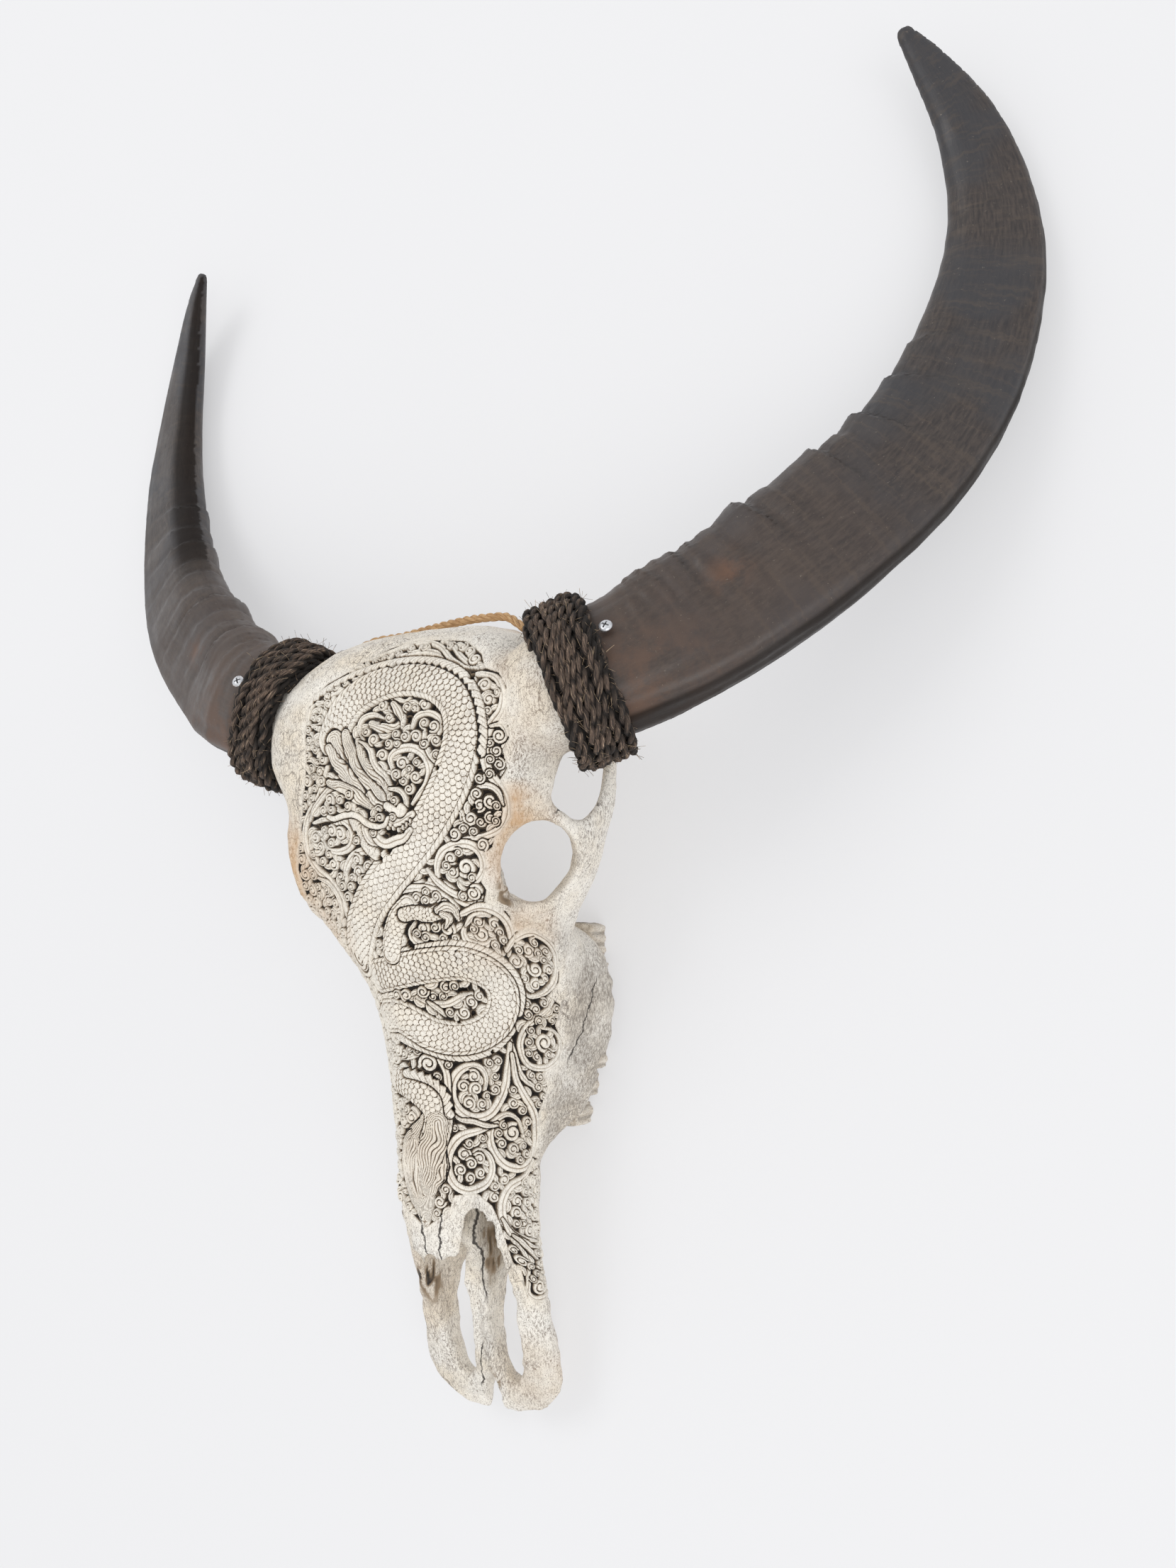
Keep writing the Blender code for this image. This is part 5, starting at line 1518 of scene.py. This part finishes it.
# What is left over is filled as the carver did: with small curls where there is room for them,
# then with leaves. Each has the room that it needs and the most that it takes, in millimetres.
CURL_ROOM, LEAF_ROOM = (3.1, 4.0), (1.6, 2.6)
FILL_ROUNDS = 2
chance = np.random.default_rng(7)
for smallest, largest in (CURL_ROOM, LEAF_ROOM):
    for _ in range(FILL_ROUNDS):
        room = grown(done[::2, ::2], 4.0 / 2) * 2
        slope = np.gradient(soft(room, 3))
        along_gap = np.arctan2(slope[0], slope[1]) + math.pi / 2
        rows, columns = np.nonzero((room > smallest) & carved[::2, ::2])
        order = chance.permutation(len(rows))
        placed = np.zeros((0, 2))
        for k in order:
            spot = np.array((grid_u[columns[k] * 2], grid_v[rows[k] * 2]))
            if len(placed) and np.hypot(*(placed - spot).T).min() < smallest + largest:
                continue
            placed = np.vstack((placed, spot))
            size = min(room[rows[k], columns[k]], largest)
            if (smallest, largest) == CURL_ROOM:
                curl(spot, size + 0.05, int(chance.integers(99)))
            else:
                leaf(spot, size + 0.4, along_gap[rows[k], columns[k]] + 0.5 * (chance.random() - 0.5))
gap_width = grown(done, 3.0)
relief = np.where(done, relief, -1.7 - 2.2 * np.clip((gap_width - 0.4) / 1.2, 0, 1))
ink_and_shade = np.where(done, ink_and_shade, 0.78 + 0.22 * np.clip((gap_width - 0.4) / 0.9, 0, 1))

# Towards the outline on the animal's right the grooves grow shallow, so that it stays smooth.
towards = -(outward * unit(sight)).sum(-1)
shallow = np.maximum(relief, -0.7 - 4.5 * np.clip(towards / 0.45, 0, 1))
relief = np.where((grid_u < 0)[None, :], shallow, relief)

# Wear: the carving's rim is rubbed down, and the plain margin is slightly lumpy.
relief = np.where(to_plain < 1.0, np.minimum(relief, TOP - 1.2 * (1 - to_plain)), relief)
relief = relief * 0.72 + soft(relief, 1) * 0.28
lumpy = noise_at(ground.reshape(-1, 3), 9, 31).reshape(relief.shape) - 0.5
relief += np.where(carved, 0.25, 0.5) * lumpy
# Painted shade: the relief is darker where it lies below its surroundings and lighter on its crests.
wide_mean = soft(relief, 22)
hollow = ink_and_shade + 0.30 * np.clip((wide_mean - relief - 0.3) / 1.6, 0, 1)
hollow = hollow - 0.25 * np.clip((relief - wide_mean - 0.5) / 1.2, 0, 1)
hollow = np.where(to_carved > 0.9, 0, np.clip(hollow, 0, 1))
tops_rubbed = np.clip(1 - to_carved / 3, 0, 1)

# The relief's shell: a fine front, a coarse back under it and a rim that dips below the bone.
# The shell is cut into closed lengths with about as many points each.
MARGIN, DIP = 7.6, 2.8
SHELL_THICK = 1.4
BACK_STEP = 8
LENGTHS = 7
part_of_shell = (to_carved < MARGIN) & ~holed & inside_bone
rim = np.clip((MARGIN - to_carved) / DIP, 0, 1)
front = np.where(to_carved > 0.5, (relief - PLAIN) * np.clip(1 - (to_carved - 2) / 3, 0, 1), relief)
front = np.where(carved, relief, front + PLAIN * np.clip(1 - to_carved / 4.5, 0, 1))
front = front - 3.0 * (1 - rim) ** 2 + 0.12 * np.clip((to_carved - 4) / 1.5, 0, 1) * rim


def shell_piece(name, low, high):
    """One closed length of the relief, between two rows of the grid."""
    rows = np.arange(low, min(high + 1, len(grid_v)))
    kept = part_of_shell[rows]
    quads = kept[:-1, :-1] & kept[1:, :-1] & kept[:-1, 1:] & kept[1:, 1:]
    number = np.arange(kept.size).reshape(kept.shape)
    corners = np.stack((number[:-1, :-1], number[:-1, 1:], number[1:, 1:], number[1:, :-1]), -1)[quads]
    top = (ground[rows] + outward[rows] * front[rows][..., None]).reshape(-1, 3)
    back_height = np.minimum(front[rows], FLOOR - SHELL_THICK)[..., None]
    under = (ground[rows] + outward[rows] * back_height).reshape(-1, 3)
    edges = np.concatenate([corners[:, [k, (k + 1) % 4]] for k in range(4)])
    key = np.sort(edges, 1)
    key = key[:, 0] * kept.size + key[:, 1]
    _, where, count = np.unique(key, return_index=True, return_counts=True)
    border = edges[where[count == 1]]
    on_border = np.zeros(kept.size, bool)
    on_border[border.ravel()] = True
    row_of, column_of = np.divmod(np.arange(kept.size), kept.shape[1])
    joined_row = np.minimum(row_of // BACK_STEP * BACK_STEP + BACK_STEP // 2, kept.shape[0] - 1)
    joined = joined_row * kept.shape[1] + column_of // BACK_STEP * BACK_STEP + BACK_STEP // 2
    joined = np.minimum(joined, kept.size - 1)
    usable = np.zeros(kept.size, bool)
    usable[np.unique(corners)] = True
    joined = np.where(on_border | ~usable[joined] | on_border[joined], np.arange(kept.size), joined)
    back = corners[:, ::-1]
    halves = np.vstack((back[:, [0, 1, 2]], back[:, [0, 2, 3]]))
    halves = joined[halves]
    solid = (halves[:, 0] != halves[:, 1]) & (halves[:, 1] != halves[:, 2]) & (halves[:, 0] != halves[:, 2])
    halves = halves[solid] + kept.size
    sides = np.vstack((np.stack((border[:, 1], border[:, 0], border[:, 0] + kept.size), 1),
                       np.stack((border[:, 1], border[:, 0] + kept.size, border[:, 1] + kept.size), 1)))
    tops = np.vstack((corners[:, [0, 1, 2]], corners[:, [0, 2, 3]]))
    faces = np.vstack((tops, halves, sides))
    points = np.vstack((top, under))
    used, faces = np.unique(faces, return_inverse=True)
    made = mesh_from(name, in_metres(points[used]), faces.reshape(-1, 3), [bone_finish])
    # The shell's back is painted black, as shade.
    dark = np.concatenate((hollow[rows].ravel(), np.ones(kept.size)))[used]
    keep(made.data, "hollow", dark)
    keep(made.data, "rubbed", np.concatenate((tops_rubbed[rows].ravel(), np.zeros(kept.size)))[used])
    keep(made.data, "stain", stain_at(points[used]))
    keep(made.data, "grey", grey_at(points[used]) * 0.6)
    return made


filled_rows = np.nonzero(part_of_shell.any(1))[0]
even_shares = np.linspace(0, part_of_shell.sum(), LENGTHS + 1)[1:-1]
cuts = np.searchsorted(np.cumsum(part_of_shell.sum(1)), even_shares)
bounds = [filled_rows[0], *cuts, filled_rows[-1] + 1]
for k, (low, high) in enumerate(zip(bounds, bounds[1:])):
    panel = shell_piece(f"carving_{k + 1}", low, high)
    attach(panel, "root")

# Under the relief the bone itself is cut back, so that nothing of it shows in the grooves.
CUT_BACK = 6.6
points = points_of(bone.data)
mm = from_poll(points)
angle = np.arctan2(mm[:, 0], mm[:, 2] - axis_height(mm[:, 1]))
row = np.clip((mm[:, 1] - coarse_v[0]) / COARSE, 0, len(coarse_v) - 1.001)
column = np.clip((angle - SWEEP[0]) / (SWEEP[1] - SWEEP[0]), 0, len(SWEEP) - 1.001)
low_row, low_column = row.astype(int), column.astype(int)
row_part, column_part = row - low_row, column - low_column
at_u = 0
for i, row_share in enumerate((1 - row_part, row_part)):
    for k, column_share in enumerate((1 - column_part, column_part)):
        at_u = at_u + length[low_row + i, low_column + k] * row_share * column_share
u_place = np.clip(np.round((at_u - grid_u[0]) / STEP).astype(int), 0, len(grid_u) - 1)
v_place = np.clip(np.round((mm[:, 1] - grid_v[0]) / STEP).astype(int), 0, len(grid_v) - 1)
gap = np.linalg.norm(ground[v_place, u_place] - mm, axis=1)
deep_in = np.where(part_of_shell, MARGIN - to_carved, 0)[v_place, u_place]
sink = np.clip((deep_in - DIP) / 3.0, 0, 1) ** 0.8 * CUT_BACK * (gap < 4.5) * (mm[:, 1] < -3)
points -= outward[v_place, u_place] * (sink * 0.001)[:, None]
bone.data.vertices.foreach_set("co", points.astype(np.float32).ravel())
bone.data.update()

# The last marks are laid now that the bone has its form: the eye socket's broken edge, soot on the
# muzzle, and painted shade inside the nose.
bone_mm = from_poll(points_of(bone.data))
keep(bone.data, "stain", stain_at(bone_mm))
keep(bone.data, "grey", grey_at(bone_mm))
keep(bone.data, "rubbed", np.zeros(len(bone_mm)))
notch = near(bone_mm, (80, -178, 145), (9, 18, 12)) * np.clip((noise_at(bone_mm, 4.2, 45) - 0.35) * 3.4, 0, 1)
sooted = near(bone_mm, (-36, -438, 62), (14, 26, 18)) * 1.25 + near(bone_mm, (5, -506, 40), (7, 12, 12))
sooted *= np.clip((noise_at(bone_mm * (1, 0.4, 1), 2.6, 46) - 0.38) * 5, 0, 1) * 0.9
# Painted shade inside the nose beside its middle bar, streaked along it.
streaked = np.clip((noise_at(bone_mm * (1, 0.22, 1), 2.2, 47) - 0.5) * 4, 0, 1)
shaded = near(bone_mm, (12, -404, 54), (9, 50, 20)) * (0.52 + 0.7 * streaked)
keep(bone.data, "hollow", np.clip(np.maximum(np.maximum(notch, sooted), shaded), 0, 0.85))
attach(bone, "root")
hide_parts("skull")

# Teeth. Six worn cheek teeth on each side, ridged down their sides, ragged at the crown and
# stained like the bone; each stands in the upper jaw with hardly a gap to the next. Their ends and
# the grooves between their ridges carry painted shade.
TOOTH_GRAIN, TOOTH_ROUNDS = 0.0011, 4
TEETH_A_SIDE = 6
RIDGE_PITCH = 7.4


def tooth_look():
    look = Shading("tooth")
    streaks = look.noise(look.stretched((1, 1, 0.25)), 420, 4, 0.65)
    specks = look.noise(look.place, 900, 4, 0.65)
    base = look.mixed(look.between(streaks, 0.35, 0.65), (0.80, 0.735, 0.64), (0.60, 0.525, 0.43))
    base = look.mixed(look.between(specks, 0.52, 0.64, 0.0, 0.75), base, (0.20, 0.165, 0.135))
    # Painted shade at the teeth's ends and in their grooves.
    look.colour(look.mixed(look.attribute("hollow"), base, (0.10, 0.078, 0.06)))
    look.rough(look.between(streaks, 0.3, 0.7, 0.4, 0.7))
    look.bump(look.sums("MULTIPLY_ADD", streaks, 0.8, look.sums("MULTIPLY", specks, -0.6)), 0.6, 0.0006)
    return look.material


tooth_finish = tooth_look()
for side in ("left", "right"):
    for number in range(1, TEETH_A_SIDE + 1):
        node = f"tooth_{side}_{number}"
        tooth = fine_copy(node, f"worn_{node}", TOOTH_GRAIN)
        relax(tooth.data, TOOTH_ROUNDS)
        points, facing = points_of(tooth.data), normals_of(tooth.data)
        low, high = points.min(0), points.max(0)
        centre = (low + high) / 2
        down = (high[2] - points[:, 2]) / (high[2] - low[2])
        mm = from_poll(points)
        ridge = np.sin((mm[:, 1] + number * 3.1) * 2 * np.pi / RIDGE_PITCH)
        rough = noise_at(mm, 5.5, number) - 0.5
        fine = noise_at(mm, 2.0, number + 9) - 0.5
        sideways = np.abs(facing[:, 0])
        moved = 0.75 * ridge * sideways + 1.5 * rough * (0.4 + down) + 0.8 * fine
        points += facing * (moved * 0.001 * (0.3 + 0.7 * np.clip(sideways + down, 0, 1)))[:, None]
        points[:, 1] = centre[1] + (points[:, 1] - centre[1]) * (1 + 0.07 * down)
        worn = np.clip((down - 0.72) / 0.28, 0, 1)
        points[:, 2] += worn * 0.001 * (1.5 + 3.2 * noise_at(mm, 8.0, number + 20))
        points[:, 1] = np.clip(points[:, 1], low[1] - 0.0003, high[1] + 0.0003)
        tooth.data.vertices.foreach_set("co", points.astype(np.float32).ravel())
        tooth.data.update()
        # Painted shade where each tooth meets the next and in the grooves between its ridges.
        ends = np.clip((np.abs(points[:, 1] - centre[1]) / (high[1] - low[1]) * 2 - 0.9) / 0.1, 0, 1)
        keep(tooth.data, "hollow", np.clip(0.8 * ends + 0.5 * np.clip(-ridge, 0, 1) * sideways, 0, 1))
        tooth.data.materials.append(tooth_finish)
        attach(tooth, "root")
        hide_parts(node)

# Floor and light. A pale matt studio floor that gives off a little light of its own, under two
# large soft lamps and a pale room.
FLOOR_GLOW = 0.47
ROOM_LIGHT = 0.73
LAMPS_AIM = (0, 0, 0.05)


def floor_look():
    look = Shading("floor")
    look.colour(look.mixed(look.noise(look.place, 3, 2), (0.395, 0.395, 0.40), (0.405, 0.405, 0.41)))
    look.shader.inputs["Emission Color"].default_value = (0.985, 0.985, 1.0, 1)
    look.shader.inputs["Emission Strength"].default_value = FLOOR_GLOW
    look.rough(0.9)
    return look.material


floor = mesh_from("floor", [(-6, -6, 0), (6, -6, 0), (6, 6, 0), (-6, 6, 0)], [(0, 1, 2, 3)], [floor_look()])


def lamp(name, place, aim, size, power):
    data = bpy.data.lights.new(name, "AREA")
    data.size = size
    data.energy = power
    made = link(bpy.data.objects.new(name, data))
    made.location = place
    made.rotation_euler = (Vector(aim) - Vector(place)).to_track_quat("-Z", "Y").to_euler()
    return made


lamp("key", (-1.3, 1.7, 3.4), LAMPS_AIM, 2.0, 30)
lamp("fill", (2.4, -1.6, 2.8), LAMPS_AIM, 2.6, 42)
surroundings = bpy.data.worlds.new("room")
surroundings.use_nodes = True
backdrop = surroundings.node_tree.nodes["Background"]
backdrop.inputs["Color"].default_value = (0.985, 0.99, 1.0, 1)
backdrop.inputs["Strength"].default_value = ROOM_LIGHT
bpy.context.scene.world = surroundings
bpy.context.scene.view_settings.view_transform = "Standard"
